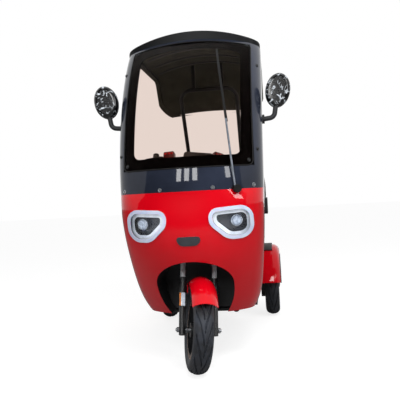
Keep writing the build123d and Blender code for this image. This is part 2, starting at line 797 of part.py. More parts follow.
half_legs = leg_spacing / 2
with BuildPart(steer_plane) as steering_stem:
    with Locations((0, -fork_offset / 2, crown_height + crown_thickness / 2)):
        Box(leg_spacing + 56.0, fork_offset + 52.0, crown_thickness)
    fillet(steering_stem.edges().filter_by(Axis((0, 0, 0), steer_up)), radius=22.0)
    with Locations((0, 0, (crown_height + bar_height + 20.0) / 2)):
        Cylinder(stem_radius, bar_height + 20.0 - crown_height)
    with Locations((0, 0, head_base + head_tube_length + 10.0)):
        Cylinder(24.0, 16.0)
    with Locations((0, 0, bar_height)):
        Box(62.0, 44.0, 40.0)
        Cylinder(bar_radius + shaft_clearance, 90.0, rotation=(0, 90, 0), mode=Mode.SUBTRACT)
    for side in (-1, 1):
        with Locations((side * half_legs, -fork_offset, crown_height)):
            Cylinder(stanchion_radius + shaft_clearance, 200.0, mode=Mode.SUBTRACT)
keep(steering_stem, "steering_stem")

with BuildPart(steer_plane) as fork_stanchions:
    stanchion_base = leg_top - 120.0
    stanchion_length = crown_height + crown_thickness - 2.0 - stanchion_base
    for side in (-1, 1):
        with Locations((side * half_legs, -fork_offset, stanchion_base + stanchion_length / 2)):
            Cylinder(stanchion_radius, stanchion_length)
keep(fork_stanchions, "fork_stanchions")

with BuildPart(steer_plane) as fork_legs:
    for side in (-1, 1):
        with Locations((side * half_legs, -fork_offset, (leg_bottom + leg_top) / 2)):
            Cylinder(leg_radius, leg_top - leg_bottom)
        with Locations((side * half_legs, -fork_offset, leg_top - 10.0)):
            Cylinder(leg_radius + 4.0, 20.0)
        with Locations((side * half_legs, -fork_offset, 205.0)):
            Cylinder(leg_radius + 4.0, 34.0)
        with Locations((side * half_legs, -fork_offset, leg_top - 60.0 + 1.0)):
            Cylinder(stanchion_radius + shaft_clearance, 122.0, mode=Mode.SUBTRACT)
        with Locations((side * half_legs, -fork_offset, 0)):
            Cylinder(front_axle_radius + shaft_clearance, 80.0, rotation=(0, 90, 0), mode=Mode.SUBTRACT)
keep(fork_legs, "fork_legs")

leg_inner = half_legs - leg_radius
leg_outer = half_legs + leg_radius
with BuildPart(steer_plane) as front_axle:
    with Locations((0, -fork_offset, 0)):
        Cylinder(front_axle_radius, 2 * (leg_outer + 16.0), rotation=(0, 90, 0))
    spacer = leg_inner - running_gap - front_hub_half - 1.0
    for side in (-1, 1):
        with Locations((side * (leg_inner - running_gap - spacer / 2), -fork_offset, 0)):
            Cylinder(12.0, spacer, rotation=(0, 90, 0))
        with Locations((side * (leg_outer + running_gap + 5.0), -fork_offset, 0)):
            Cylinder(13.0, 10.0, rotation=(0, 90, 0))
keep(front_axle, "front_axle")

front_fender_half = 63.0
front_fender_edge = 230.0
front_fender_crown = 268.0
front_fender_wall = 4.0
front_fender_start = 40.0
front_fender_arc = 96.0
with BuildPart() as front_fender:
    start = math.radians(front_fender_start) - rake
    lip = axle_back * -math.cos(start) + steer_up * math.sin(start)
    lip_plane = Plane(origin=front_axle_point, x_dir=axle_side, z_dir=axle_side.cross(lip))
    with BuildSketch(lip_plane) as fender_crown:
        with BuildLine():
            half = front_fender_half
            thin = front_fender_half - front_fender_wall
            edge = front_fender_edge
            ThreePointArc((-half, edge), (0, front_fender_crown), (half, edge))
            Line((half, edge), (thin, edge))
            ThreePointArc((thin, edge), (0, front_fender_crown - front_fender_wall), (-thin, edge))
            Line((-thin, edge), (-half, edge))
        make_face()
    revolve(fender_crown.sketch, axis=Axis(front_axle_point, axle_side * -1), revolution_arc=front_fender_arc)
    for side in (-1, 1):
        ear_inner = front_fender_half - 3.0
        ear_outer = half_legs - leg_radius - 4.0 - running_gap
        ear = Box(3.5, 26.0, 50.0, mode=Mode.PRIVATE)
        place = steer_plane.location * Location((side * (ear_outer - 1.75), -fork_offset, 212.0))
        add(ear.moved(place))
keep(front_fender, "front_fender")

grip_length = 100.0
bar_end = (bar_half_width, bar_pull_back, bar_height + bar_rise)
bar_bend = (165.0, 18.0, bar_height + bar_rise)
bar_root = (85.0, 0.0, bar_height)
with BuildPart() as handlebar:
    left_half = [steered(*bar_root), steered(*bar_bend), steered(*bar_end)]
    right_half = [steered(-x, y, z) for x, y, z in (bar_end, bar_bend, bar_root)]
    bent_bar(right_half + left_half, bar_radius, 30.0)
keep(handlebar, "handlebar")

bar_run = Vector(*bar_end) - Vector(*bar_bend)
bar_unit = bar_run.normalized()
grip_start = Vector(*bar_end) - bar_unit * grip_length
with BuildPart() as grips:
    for side in (-1, 1):
        direction = steer_plane.x_dir * (side * bar_unit.X) + steer_plane.y_dir * bar_unit.Y
        root = steered(side * grip_start.X, grip_start.Y, grip_start.Z)
        with BuildSketch(Plane(origin=root, z_dir=direction)) as grip_ring:
            Circle(bar_radius + 5.0)
            Circle(bar_radius + shaft_clearance, mode=Mode.SUBTRACT)
        extrude(grip_ring.sketch, amount=grip_length + 4.0)
keep(grips, "grips")

with BuildPart() as brake_levers:
    for side in (-1, 1):
        clamp_at = Vector(*bar_bend) + bar_unit * 22.0
        direction = steer_plane.x_dir * (side * bar_unit.X) + steer_plane.y_dir * bar_unit.Y
        clamp_root = steered(side * clamp_at.X, clamp_at.Y, clamp_at.Z)
        with BuildSketch(Plane(origin=clamp_root, z_dir=direction)) as clamp_ring:
            Circle(bar_radius + 7.0)
            Circle(bar_radius + shaft_clearance, mode=Mode.SUBTRACT)
        extrude(clamp_ring.sketch, amount=18.0)
        lever_points = [
            steered(side * (clamp_at.X + 8.0), clamp_at.Y - 12.0, clamp_at.Z),
            steered(side * (clamp_at.X + 18.0), clamp_at.Y - 46.0, clamp_at.Z - 4.0),
            steered(side * (bar_half_width - 5.0), bar_pull_back - 48.0, bar_height + bar_rise - 6.0),
        ]
        bent_bar(lever_points, 5.0, 14.0)
keep(brake_levers, "brake_levers")

pod_height = 44.0
with BuildPart(steer_plane) as instrument_pod:
    with Locations((0, -6.0, bar_height + 22.0 + pod_height / 2)):
        Box(170.0, 60.0, pod_height)
    fillet(instrument_pod.edges().filter_by(Axis((0, 0, 0), steer_plane.y_dir)), radius=18.0)
    with Locations((0, 0, bar_height + 21.5)):
        Cylinder(16.0, 3.0)
keep(instrument_pod, "instrument_pod")


# Wheels
def radial_plane(centre, axle, up):
    return Plane(origin=centre, x_dir=axle, z_dir=axle.cross(up))


def wheel(name, centre, axle, up, bore, hub_half):
    spin = Axis(centre, axle)
    with BuildPart() as tyre:
        with BuildSketch(radial_plane(centre, axle, up)):
            with BuildLine():
                half = tyre_width / 2
                shoulder = (tyre_shoulder_half, tyre_radius - tyre_shoulder_drop)
                bead = (bead_half, bead_radius + flange_height)
                bulge = (half, (shoulder[1] + bead[1]) / 2)
                ThreePointArc((-shoulder[0], shoulder[1]), (0, tyre_radius), shoulder)
                ThreePointArc(shoulder, bulge, bead)
                Polyline(bead, (bead_half, bead_radius), (-bead_half, bead_radius), (-bead[0], bead[1]))
                ThreePointArc((-bead[0], bead[1]), (-bulge[0], bulge[1]), (-shoulder[0], shoulder[1]))
            make_face()
        revolve(axis=spin)
    keep(tyre, f"{name}_tyre")
    with BuildPart() as rim:
        with BuildSketch(radial_plane(centre, axle, up)):
            with BuildLine():
                seat = bead_half + running_gap
                wide = seat + flange_thickness
                barrel = bead_radius - running_gap
                well = bead_radius - rim_wall
                crest = bead_radius + flange_height - 1.0
                left = [(-wide, well), (-wide, crest), (-seat, crest), (-seat, barrel)]
                right = [(seat, barrel), (seat, crest), (wide, crest), (wide, well)]
                Polyline(*left, *right, close=True)
            make_face()
        revolve(axis=spin)
        side_plane = Plane(origin=centre - axle * (spoke_thickness / 2), x_dir=up, z_dir=axle)
        with BuildSketch(side_plane):
            reach = bead_radius - rim_wall + 3.0
            with PolarLocations(reach / 2 + 10.0, spoke_count):
                Rectangle(reach - 20.0, spoke_width)
        extrude(amount=spoke_thickness)
        with BuildSketch(Plane(origin=centre - axle * hub_half, x_dir=up, z_dir=axle)):
            Circle(hub_radius)
        extrude(amount=2 * hub_half)
        with BuildSketch(Plane(origin=centre - axle * hub_half, x_dir=up, z_dir=axle)):
            Circle(bore + shaft_clearance)
        extrude(amount=2 * hub_half, mode=Mode.SUBTRACT)
    keep(rim, f"{name}_rim")


rear_stub_radius = 14.0
wheel("front", front_axle_point, axle_side, steer_up, front_axle_radius, front_hub_half)
for name, side in (("rear_left", 1), ("rear_right", -1)):
    hub_centre = Vector(side * half_track, rear_axle_y, tyre_radius)
    wheel(name, hub_centre, Vector(1, 0, 0), Vector(0, 0, 1), rear_stub_radius, rear_hub_half)

# Rear axle with brake drums, motor and springs
drum_radius = 88.0
drum_inner = 300.0
hub_face = half_track - rear_hub_half
with BuildPart() as rear_axle_tubes:
    for side in (-1, 1):
        tube_length = drum_inner - motor_half - running_gap
        with Locations((side * (motor_half + running_gap + tube_length / 2), rear_axle_y, tyre_radius)):
            Cylinder(axle_tube_radius, tube_length, rotation=(0, 90, 0))
        drum_length = hub_face - 1.0 - drum_inner
        with Locations((side * (drum_inner + drum_length / 2), rear_axle_y, tyre_radius)):
            Cylinder(drum_radius, drum_length, rotation=(0, 90, 0))
        stub_length = 2 * rear_hub_half + 18.0
        with Locations((side * (hub_face - 2.0 + stub_length / 2), rear_axle_y, tyre_radius)):
            Cylinder(rear_stub_radius, stub_length, rotation=(0, 90, 0))
        with Locations((side * (half_track + rear_hub_half + 1.0 + 6.0), rear_axle_y, tyre_radius)):
            Cylinder(24.0, 12.0, rotation=(0, 90, 0))
keep(rear_axle_tubes, "rear_axle")

with BuildPart() as drive_motor:
    with Locations((0, rear_axle_y, tyre_radius)):
        Cylinder(motor_radius, 2 * motor_half, rotation=(0, 90, 0))
    with Locations((0, rear_axle_y - 118.0, tyre_radius + 6.0)):
        Cylinder(66.0, 190.0, rotation=(90, 0, 0))
keep(drive_motor, "drive_motor")

spring_half = 234.0
spring_rise = 52.0
spring_width = 44.0
leaf_thickness = 7.0
clamp_gap = running_gap
with BuildPart() as leaf_springs:
    spring_low = tyre_radius + axle_tube_radius + clamp_gap
    for side in (-1, 1):
        with BuildSketch(Plane.YZ.offset(side * rail_x - spring_width / 2)) as leaf_side:
            with BuildLine():
                ThreePointArc(
                    (rear_axle_y - spring_half, spring_low + spring_rise),
                    (rear_axle_y, spring_low),
                    (rear_axle_y + spring_half, spring_low + spring_rise),
                )
                Line(
                    (rear_axle_y + spring_half, spring_low + spring_rise),
                    (rear_axle_y + spring_half, spring_low + spring_rise + leaf_thickness),
                )
                ThreePointArc(
                    (rear_axle_y + spring_half, spring_low + spring_rise + leaf_thickness),
                    (rear_axle_y, spring_low + 3 * leaf_thickness),
                    (rear_axle_y - spring_half, spring_low + spring_rise + leaf_thickness),
                )
                Line(
                    (rear_axle_y - spring_half, spring_low + spring_rise + leaf_thickness),
                    (rear_axle_y - spring_half, spring_low + spring_rise),
                )
            make_face()
        extrude(leaf_side.sketch, amount=spring_width)
        hanger_base = spring_low + spring_rise
        hanger_top = rail_high_z - rail_radius - running_gap
        for end in (-1, 1):
            hanger_y = rear_axle_y + end * (spring_half - 8.0)
            with Locations((side * rail_x, hanger_y, (hanger_base + hanger_top) / 2)):
                Box(spring_width, 18.0, hanger_top - hanger_base)
keep(leaf_springs, "leaf_springs")

# Rear end: tail lamps and a bumper bar on two stays, with a spigot at each end
bumper_stand = 62.0
bumper_radius = 16.0
stay_radius = 12.0
bumper_half = 214.0
spigot_radius = 14.0
spigot_length = 50.0
with BuildPart() as tail_lamps:
    for side in (-1, 1):
        with Locations((side * 215.0, behind(tub_back + running_gap + 14.0), 520.0)):
            Box(90.0, 28.0, 130.0)
    fillet(tail_lamps.faces().sort_by(Axis.Y)[-2:].edges(), radius=10.0)
keep(tail_lamps, "tail_lamps")

with BuildPart() as rear_bumper:
    bumper_start = rail_rear + running_gap
    stay_length = tub_back + bumper_stand - bumper_start
    for side in (-1, 1):
        with Locations((side * rail_x, behind(bumper_start + stay_length / 2), rail_high_z)):
            Cylinder(stay_radius, stay_length, rotation=(90, 0, 0))
    with Locations((0, behind(tub_back + bumper_stand), rail_high_z)):
        Cylinder(bumper_radius, 2 * bumper_half, rotation=(0, 90, 0))
        Cylinder(spigot_radius, 2 * (bumper_half + spigot_length), rotation=(0, 90, 0))
keep(rear_bumper, "rear_bumper")

# Wiper on the screen: the blade follows the glass, the arm bears on its back
wiper_pivot_x = 237.0
wiper_pivot_z = 914.0
wiper_cap_radius = 20.0
blade_height = 10.0
blade_width = 12.0
blade_low = (205.0, 1250.0)
blade_high = (150.0, 1690.0)
# across, height, distance in front of the screen
wiper_rows = [(236.0, 918.0, 17.0), (223.0, 1060.0, 24.0), (203.0, 1257.0, 26.0), (176.0, 1480.0, 16.0)]


def blade_layer(stand, width):
    """Layer in front of the screen along the blade, up to a distance from the glass."""
    run = Vector(*blade_high) - Vector(*blade_low)
    across = Vector(run.Y, -run.X).normalized() * (width / 2)
    ends = [Vector(*blade_low), Vector(*blade_high)]
    corners = [ends[0] - across, ends[0] + across, ends[1] + across, ends[1] - across]
    with BuildSketch(front_view) as strip:
        with BuildLine():
            Polyline(*[(corner.X, corner.Y) for corner in corners], close=True)
        make_face()
    with BuildPart() as layer:
        loft(cab_sections(frame_rows, -stand))
        loft(cab_sections(frame_rows, -running_gap, 60.0), mode=Mode.SUBTRACT)
        extrude(strip.sketch, amount=-front_view_depth, mode=Mode.INTERSECT)
    return layer.part


with BuildPart() as wiper_blade:
    add(blade_layer(blade_height, blade_width))
keep(wiper_blade, "wiper_blade")

with BuildPart() as wiper_arm:
    arm_points = [(x, screen_y(x, z) - stand, z) for x, z, stand in wiper_rows]
    bent_bar(arm_points, 5.0, 60.0)
    lean_out = Vector(0.48, -0.877, 0.0)
    cap_base = Vector(wiper_pivot_x, screen_y(wiper_pivot_x, wiper_pivot_z), wiper_pivot_z) - lean_out * 8.0
    with BuildSketch(Plane(origin=cap_base, z_dir=lean_out)) as cap_ring:
        Circle(wiper_cap_radius)
    extrude(cap_ring.sketch, amount=34.0)
    loft(cab_sections(frame_rows, -running_gap), mode=Mode.SUBTRACT)
    loft(cab_sections(cowl_rows, -running_gap), mode=Mode.SUBTRACT)
    add(blade_layer(blade_height + running_gap, blade_width + 2 * running_gap), mode=Mode.SUBTRACT)
keep(wiper_arm, "wiper_arm")

# Mirrors on bent stems at the pillars
mirror_y = behind(250.0)
mirror_z = 1278.0
mirror_x = pillar_x(mirror_y, mirror_z) + running_gap
head_x = 470.0
head_z = 1427.0
head_tilt = 12.0
head_wide = 66.0
head_tall = 92.0
head_depth = 40.0
glass_rim = 5.0
glass_seat = 3.0


def mirror_oval(side, distance, rim=0.0):
    lean = math.radians(head_tilt)
    plane = Plane(
        origin=(side * head_x, mirror_y + distance, head_z),
        x_dir=(math.cos(lean), 0, -side * math.sin(lean)),
        z_dir=(0, 1, 0),
    )
    with BuildSketch(plane) as oval:
        Ellipse(head_wide - rim, head_tall - rim)
    return oval.sketch


with BuildPart() as mirror_stems:
    for side in (-1, 1):
        stem_points = [
            (side * (mirror_x + 6.0), mirror_y, mirror_z),
            (side * (head_x - 26.0), mirror_y, mirror_z + 6.0),
            (side * (head_x - 14.0), mirror_y, mirror_z + 76.0),
        ]
        bent_bar(stem_points, 13.0, 32.0)
        with Locations((side * (mirror_x + 5.0), mirror_y, mirror_z)):
            Cylinder(24.0, 14.0, rotation=(0, 90, 0))
    loft(cab_sections(frame_rows, -running_gap), mode=Mode.SUBTRACT)
keep(mirror_stems, "mirror_stems")

with BuildPart() as mirror_heads:
    for side in (-1, 1):
        extrude(mirror_oval(side, -head_depth / 2), amount=head_depth)
    fillet(mirror_heads.faces().sort_by(Axis.Y)[:2].edges(), radius=22.0)
    for side in (-1, 1):
        extrude(mirror_oval(side, head_depth / 2, glass_rim), amount=-glass_seat, mode=Mode.SUBTRACT)
    add(mirror_stems.part, mode=Mode.SUBTRACT)
keep(mirror_heads, "mirror_heads")

with BuildPart() as mirror_glasses:
    for side in (-1, 1):
        seat_at = head_depth / 2 - glass_seat + running_gap
        extrude(mirror_oval(side, seat_at, glass_rim + running_gap), amount=2.5)
keep(mirror_glasses, "mirror_glasses")
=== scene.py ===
import bpy
import bmesh
import json
import math
from mathutils import Matrix, Vector
from mathutils.bvhtree import BVHTree


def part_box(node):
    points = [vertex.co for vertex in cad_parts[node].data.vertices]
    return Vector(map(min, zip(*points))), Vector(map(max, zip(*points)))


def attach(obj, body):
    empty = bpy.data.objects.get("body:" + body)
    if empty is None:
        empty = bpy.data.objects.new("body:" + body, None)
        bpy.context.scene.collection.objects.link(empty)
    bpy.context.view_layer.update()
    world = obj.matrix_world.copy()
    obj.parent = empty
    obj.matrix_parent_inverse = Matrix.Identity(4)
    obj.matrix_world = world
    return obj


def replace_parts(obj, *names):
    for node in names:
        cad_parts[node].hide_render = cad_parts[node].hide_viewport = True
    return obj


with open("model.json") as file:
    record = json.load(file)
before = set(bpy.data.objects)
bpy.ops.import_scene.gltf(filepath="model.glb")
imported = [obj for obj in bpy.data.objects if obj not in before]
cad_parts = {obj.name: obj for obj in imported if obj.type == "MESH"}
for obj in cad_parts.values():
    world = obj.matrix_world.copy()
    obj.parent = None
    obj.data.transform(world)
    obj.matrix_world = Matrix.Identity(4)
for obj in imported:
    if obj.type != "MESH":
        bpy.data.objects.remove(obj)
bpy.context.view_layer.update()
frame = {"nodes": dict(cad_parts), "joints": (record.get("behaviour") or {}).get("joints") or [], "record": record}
nodes = frame["nodes"]
joints = {joint["name"]: joint for joint in frame["joints"]}
scene = bpy.context.scene
scene.view_settings.view_transform = "Standard"
print("stage: frame loaded")

# the photograph's camera, from a fit to the wheels, the cowl seam and the roof corners
cameraSpec = {"place": (0.405, -3.7326, 0.888), "yaw": 6.82, "pitch": -0.42, "roll": -3.07, "focalPx": 595.1,
              "framePx": 400.0, "sensorMm": 36.0, "farthest": 100.0}


def makeCamera(spec):
    data = bpy.data.cameras.new("photoCamera")
    data.sensor_fit = "HORIZONTAL"
    data.sensor_width = spec["sensorMm"]
    data.lens = spec["sensorMm"] * spec["focalPx"] / spec["framePx"]
    data.clip_end = spec["farthest"]
    camera = bpy.data.objects.new("photoCamera", data)
    scene.collection.objects.link(camera)
    yaw, pitch, roll = (math.radians(spec[key]) for key in ("yaw", "pitch", "roll"))
    ahead = Vector((-math.sin(yaw) * math.cos(pitch), math.cos(yaw) * math.cos(pitch), math.sin(pitch)))
    right = Vector((math.cos(yaw), math.sin(yaw), 0.0))
    up = right.cross(ahead)
    rolledRight = right * math.cos(roll) + up * math.sin(roll)
    rolledUp = up * math.cos(roll) - right * math.sin(roll)
    turn = Matrix((rolledRight, rolledUp, -ahead)).transposed()
    camera.matrix_world = Matrix.Translation(spec["place"]) @ turn.to_4x4()
    scene.camera = camera


makeCamera(cameraSpec)


def hexColor(value):
    parts = [int(value[i:i + 2], 16) / 255.0 for i in (1, 3, 5)]
    linear = [p / 12.92 if p <= 0.04045 else ((p + 0.055) / 1.055) ** 2.4 for p in parts]
    return (*linear, 1.0)


def addNode(tree, kind, settings=None, links=None):
    node = tree.nodes.new(kind)
    for key, value in (settings or {}).items():
        if isinstance(key, int) or key in node.inputs:
            node.inputs[key].default_value = value
        else:
            setattr(node, key, value)
    for key, socket in (links or {}).items():
        tree.links.new(socket, node.inputs[key])
    return node


def newMaterial(name):
    material = bpy.data.materials.new(name)
    material.use_nodes = True
    material.node_tree.nodes.clear()
    return material, material.node_tree


def finishMaterial(tree, shader):
    addNode(tree, "ShaderNodeOutputMaterial", links={"Surface": shader.outputs[0]})


def setMaterial(obj, *materials):
    obj.data.materials.clear()
    for material in materials:
        obj.data.materials.append(material)


toneEdges = (0.36, 0.64)  # noise values between which the first tone turns into the second


def addTones(tree, place, drift, colors):
    mottle = addNode(tree, "ShaderNodeTexNoise", drift, {"Vector": place}).outputs["Fac"]
    tone = addNode(tree, "ShaderNodeValToRGB", links={"Fac": mottle})
    for element, position, color in zip(tone.color_ramp.elements, toneEdges, colors):
        element.position = position
        element.color = hexColor(color)
    return mottle, tone.outputs["Color"]


# two tones that drift over the surface, a grain that lifts it, and a gloss that varies with the tones
def surface(name, spec):
    material, tree = newMaterial(name)
    place = addNode(tree, "ShaderNodeTexCoord").outputs["Object"]
    drift = {"Scale": 1000.0 / spec["driftMm"], "Detail": 4.0, "Roughness": 0.55}
    mottle, tone = addTones(tree, place, drift, spec["colors"])
    grainKind = spec.get("grainKind", "ShaderNodeTexNoise")
    grain = addNode(tree, grainKind, {"Scale": 1000.0 / spec["grainMm"]}, {"Vector": place})
    lift = {"Distance": spec["grainDepthMm"] / 1000.0, "Strength": spec.get("grainStrength", 0.6)}
    bump = addNode(tree, "ShaderNodeBump", lift, {"Height": grain.outputs[0]})
    low, high = spec["rough"]
    gloss = addNode(tree, "ShaderNodeMapRange", {"To Min": low, "To Max": high}, {"Value": mottle})
    links = {"Base Color": tone, "Roughness": gloss.outputs["Result"], "Normal": bump.outputs["Normal"]}
    finishMaterial(tree, addNode(tree, "ShaderNodeBsdfPrincipled", spec.get("shader"), links))
    return material


# sprayed two-coat red on steel and glass-fibre: deep colour, clear coat on top, faint orange peel
redLacquer = surface("redLacquer", {
    "colors": ("#c40112", "#cf0316"), "driftMm": 420, "grainMm": 9, "grainDepthMm": 0.02,
    "grainStrength": 0.25, "rough": (0.34, 0.44),
    "shader": {"Specular IOR Level": 0.05, "Coat Weight": 1.0, "Coat IOR": 1.34, "Coat Roughness": 0.03}})
# gloss-painted ABS for the roof: near black, soft window reflections
blackGlossAbs = surface("blackGlossAbs", {
    "colors": ("#0c0d0e", "#131416"), "driftMm": 260, "grainMm": 7, "grainDepthMm": 0.02,
    "grainStrength": 0.3, "rough": (0.34, 0.46), "shader": {"Specular IOR Level": 0.12}})
# grained polypropylene mouldings: matt, fine leather-like pebble
blackPolypropylene = surface("blackPolypropylene", {
    "colors": ("#17181a", "#1f2023"), "driftMm": 90, "grainMm": 1.6, "grainDepthMm": 0.12,
    "rough": (0.46, 0.6), "shader": {"IOR": 1.49}})
# powder-coated tube and plate: satin black with a fine pebbled skin
powderCoat = surface("powderCoat", {
    "colors": ("#121214", "#1a1b1d"), "driftMm": 60, "grainMm": 1.1, "grainDepthMm": 0.05,
    "rough": (0.34, 0.46), "shader": {"IOR": 1.5}})
# tyre compound: charcoal drifting to a bluish grey that is painted sheen, dull
tyreRubber = surface("tyreRubber", {
    "colors": ("#15171c", "#2a2e37"), "driftMm": 46, "grainMm": 2.2, "grainDepthMm": 0.15,
    "rough": (0.5, 0.68), "shader": {"IOR": 1.52}})
# extruded EPDM strip, blade and grips: plain matt black
epdmRubber = surface("epdmRubber", {
    "colors": ("#0a0a0b", "#121213"), "driftMm": 30, "grainMm": 1.4, "grainDepthMm": 0.06,
    "rough": (0.5, 0.62), "shader": {"Specular IOR Level": 0.25}})
# ribbed floor mat: worn grey-black rubber
matRubber = surface("matRubber", {
    "colors": ("#1d1e1f", "#2c2d2f"), "driftMm": 70, "grainMm": 2.0, "grainDepthMm": 0.12,
    "rough": (0.55, 0.72), "shader": {"IOR": 1.52}})
# chromed steel: bright, with a trace of polishing haze
chromedSteel = surface("chromedSteel", {
    "colors": ("#c9ccd1", "#dcdfe3"), "driftMm": 50, "grainMm": 0.8, "grainDepthMm": 0.005,
    "rough": (0.06, 0.14), "shader": {"Metallic": 1.0}})
# hard-chromed fork tubes: satin, near-white and barely metallic; painted light that keeps them bright in the shade
# between dark walls
chromeWithPaintedLight = surface("chromeWithPaintedLight", {
    "colors": ("#e4e7ec", "#f6f8fa"), "driftMm": 40, "grainMm": 0.7, "grainDepthMm": 0.005,
    "rough": (0.2, 0.28), "shader": {"Metallic": 0.1, "Coat Weight": 1.0}})
# dull grey painted steel of the wiper arm
greyArmPaint = surface("greyArmPaint", {
    "colors": ("#5d636c", "#767c86"), "driftMm": 30, "grainMm": 1.2, "grainDepthMm": 0.02,
    "rough": (0.3, 0.42), "shader": {"Metallic": 0.35}})
# needled lining under the roof: olive grey, quite matt; its dark tone is partly the lining's own and partly
# painted shade under the roof
liningWithPaintedShade = surface("liningWithPaintedShade", {
    "colors": ("#45443c", "#525147"), "driftMm": 70, "grainMm": 4.0, "grainDepthMm": 0.03,
    "rough": (0.8, 0.95), "shader": {"Specular IOR Level": 0.02}})
# moulded ABS badge: dark slate, soft gloss
slateAbs = surface("slateAbs", {
    "colors": ("#26282e", "#30333a"), "driftMm": 40, "grainMm": 1.2, "grainDepthMm": 0.03,
    "rough": (0.3, 0.4), "shader": {"IOR": 1.5, "Coat Weight": 0.4, "Coat Roughness": 0.1}})
# zinc-plated fasteners: dull silver
zincPlate = surface("zincPlate", {
    "colors": ("#8f9297", "#b4b7bb"), "driftMm": 12, "grainMm": 0.9, "grainDepthMm": 0.02,
    "rough": (0.28, 0.42), "shader": {"Metallic": 1.0}})
# die-cast aluminium motor housing: grey, sandy skin
castAluminium = surface("castAluminium", {
    "colors": ("#77797c", "#929497"), "driftMm": 35, "grainMm": 1.5, "grainDepthMm": 0.1,
    "rough": (0.42, 0.58), "shader": {"Metallic": 1.0}})
# rose-gold anodised rim lip
roseAnodised = surface("roseAnodised", {
    "colors": ("#d9ae93", "#e6c2ab"), "driftMm": 60, "grainMm": 0.9, "grainDepthMm": 0.01,
    "rough": (0.22, 0.32), "shader": {"Metallic": 0.85}})
# synthetic leather: pebbled grain, soft sheen
vinylLeather = surface("vinylLeather", {
    "colors": ("#1c1817", "#2a2322"), "driftMm": 80, "grainKind": "ShaderNodeTexVoronoi", "grainMm": 2.4,
    "grainDepthMm": 0.35, "rough": (0.4, 0.56), "shader": {"IOR": 1.48, "Sheen Weight": 0.12}})
# opal polycarbonate light ring: milky, faintly blue, lit from within by daylight
opalRing = surface("opalRing", {
    "colors": ("#c3cbe6", "#d3daee"), "driftMm": 60, "grainMm": 3, "grainDepthMm": 0.01,
    "rough": (0.16, 0.24),
    "shader": {"IOR": 1.58, "Subsurface Weight": 0.25, "Subsurface Scale": 0.006, "Coat Weight": 0.6,
               "Coat Roughness": 0.06}})
# metallised reflector inside the lamps
lampReflector = surface("lampReflector", {
    "colors": ("#d6dbe3", "#f1f4f7"), "driftMm": 30, "grainMm": 6, "grainDepthMm": 0.05,
    "rough": (0.14, 0.26), "shader": {"Metallic": 0.2, "Coat Weight": 0.8}})
# faceted projector module behind its dome
projectorFacets = surface("projectorFacets", {
    "colors": ("#8b96a4", "#d5dce4"), "driftMm": 12, "grainKind": "ShaderNodeTexVoronoi", "grainMm": 9,
    "grainDepthMm": 1.2, "rough": (0.1, 0.2), "shader": {"Metallic": 0.4, "Coat Weight": 0.6}})
# smoked inner mask of the lamps
lampMask = surface("lampMask", {
    "colors": ("#24262b", "#33363d"), "driftMm": 25, "grainMm": 3, "grainDepthMm": 0.02,
    "rough": (0.2, 0.3), "shader": {"IOR": 1.5, "Coat Weight": 0.4}})
# red acrylic tail lamp and switch keys
redAcrylic = surface("redAcrylic", {
    "colors": ("#8c0a0c", "#a80e10"), "driftMm": 20, "grainMm": 2.5, "grainDepthMm": 0.05,
    "rough": (0.1, 0.18), "shader": {"IOR": 1.49, "Coat Weight": 1.0}})
# dark red switch mouldings
redSwitchPlastic = surface("redSwitchPlastic", {
    "colors": ("#3f0b0d", "#521012"), "driftMm": 20, "grainMm": 1.6, "grainDepthMm": 0.05,
    "rough": (0.3, 0.42), "shader": {"IOR": 1.49}})
# amber acrylic reflector
amberAcrylic = surface("amberAcrylic", {
    "colors": ("#d9701c", "#ec8a2c"), "driftMm": 9, "grainKind": "ShaderNodeTexVoronoi", "grainMm": 3.0,
    "grainDepthMm": 0.4, "rough": (0.1, 0.2), "shader": {"IOR": 1.49, "Coat Weight": 1.0}})
# white acrylic reflector, prismatic back
whiteAcrylic = surface("whiteAcrylic", {
    "colors": ("#c3cede", "#dfe6f0"), "driftMm": 8, "grainKind": "ShaderNodeTexVoronoi", "grainMm": 3.0,
    "grainDepthMm": 0.4, "rough": (0.1, 0.2), "shader": {"IOR": 1.49, "Coat Weight": 1.0}})
# silvered mirror glass
silverGlass = surface("silverGlass", {
    "colors": ("#dfe3e6", "#e6eaed"), "driftMm": 90, "grainMm": 40, "grainDepthMm": 0.005,
    "rough": (0.02, 0.05), "shader": {"Metallic": 1.0}})


# safety glass and polycarbonate lens: clear, faintly tinted, fine smears in the gloss
def clearGlass(name, spec):
    material, tree = newMaterial(name)
    place = addNode(tree, "ShaderNodeTexCoord").outputs["Object"]
    streaks = {"Scale": 1000.0 / spec["smearMm"], "Detail": 3.0}
    smear = addNode(tree, "ShaderNodeTexNoise", streaks, {"Vector": place}).outputs["Fac"]
    low, high = spec["rough"]
    gloss = addNode(tree, "ShaderNodeMapRange", {"To Min": low, "To Max": high}, {"Value": smear})
    settings = {"Base Color": hexColor(spec["color"]), "IOR": spec["ior"], "Transmission Weight": 1.0}
    glass = addNode(tree, "ShaderNodeBsdfPrincipled", settings, {"Roughness": gloss.outputs["Result"]})
    tint = addNode(tree, "ShaderNodeBsdfTransparent", {"Color": hexColor(spec["color"])})
    path = addNode(tree, "ShaderNodeLightPath")
    ways = {0: path.outputs["Is Shadow Ray"], 1: glass.outputs[0], 2: tint.outputs[0]}
    finishMaterial(tree, addNode(tree, "ShaderNodeMixShader", links=ways))  # light gets in through the tint
    return material


screenGlass = clearGlass("screenGlass", {
    "color": "#e6d5cc", "ior": 1.05, "rough": (0.0, 0.012), "smearMm": 180})
lensGlass = clearGlass("lensGlass", {
    "color": "#f6f8fb", "ior": 1.25, "rough": (0.0, 0.02), "smearMm": 40})

# the cab frame: blue-grey gloss paint, with a black printed border where the glass is bonded over it
frameSpec = {"paint": ("#20242f", "#2b303e"), "border": "#060607", "glassHalf": 0.332, "glassBase": 1.026,
             "glassCrest": 1.764, "crestFall": 0.34, "driftMm": 300, "rough": (0.2, 0.3), "peelMm": 10,
             "peelDepthMm": 0.02, "peelStrength": 0.3}


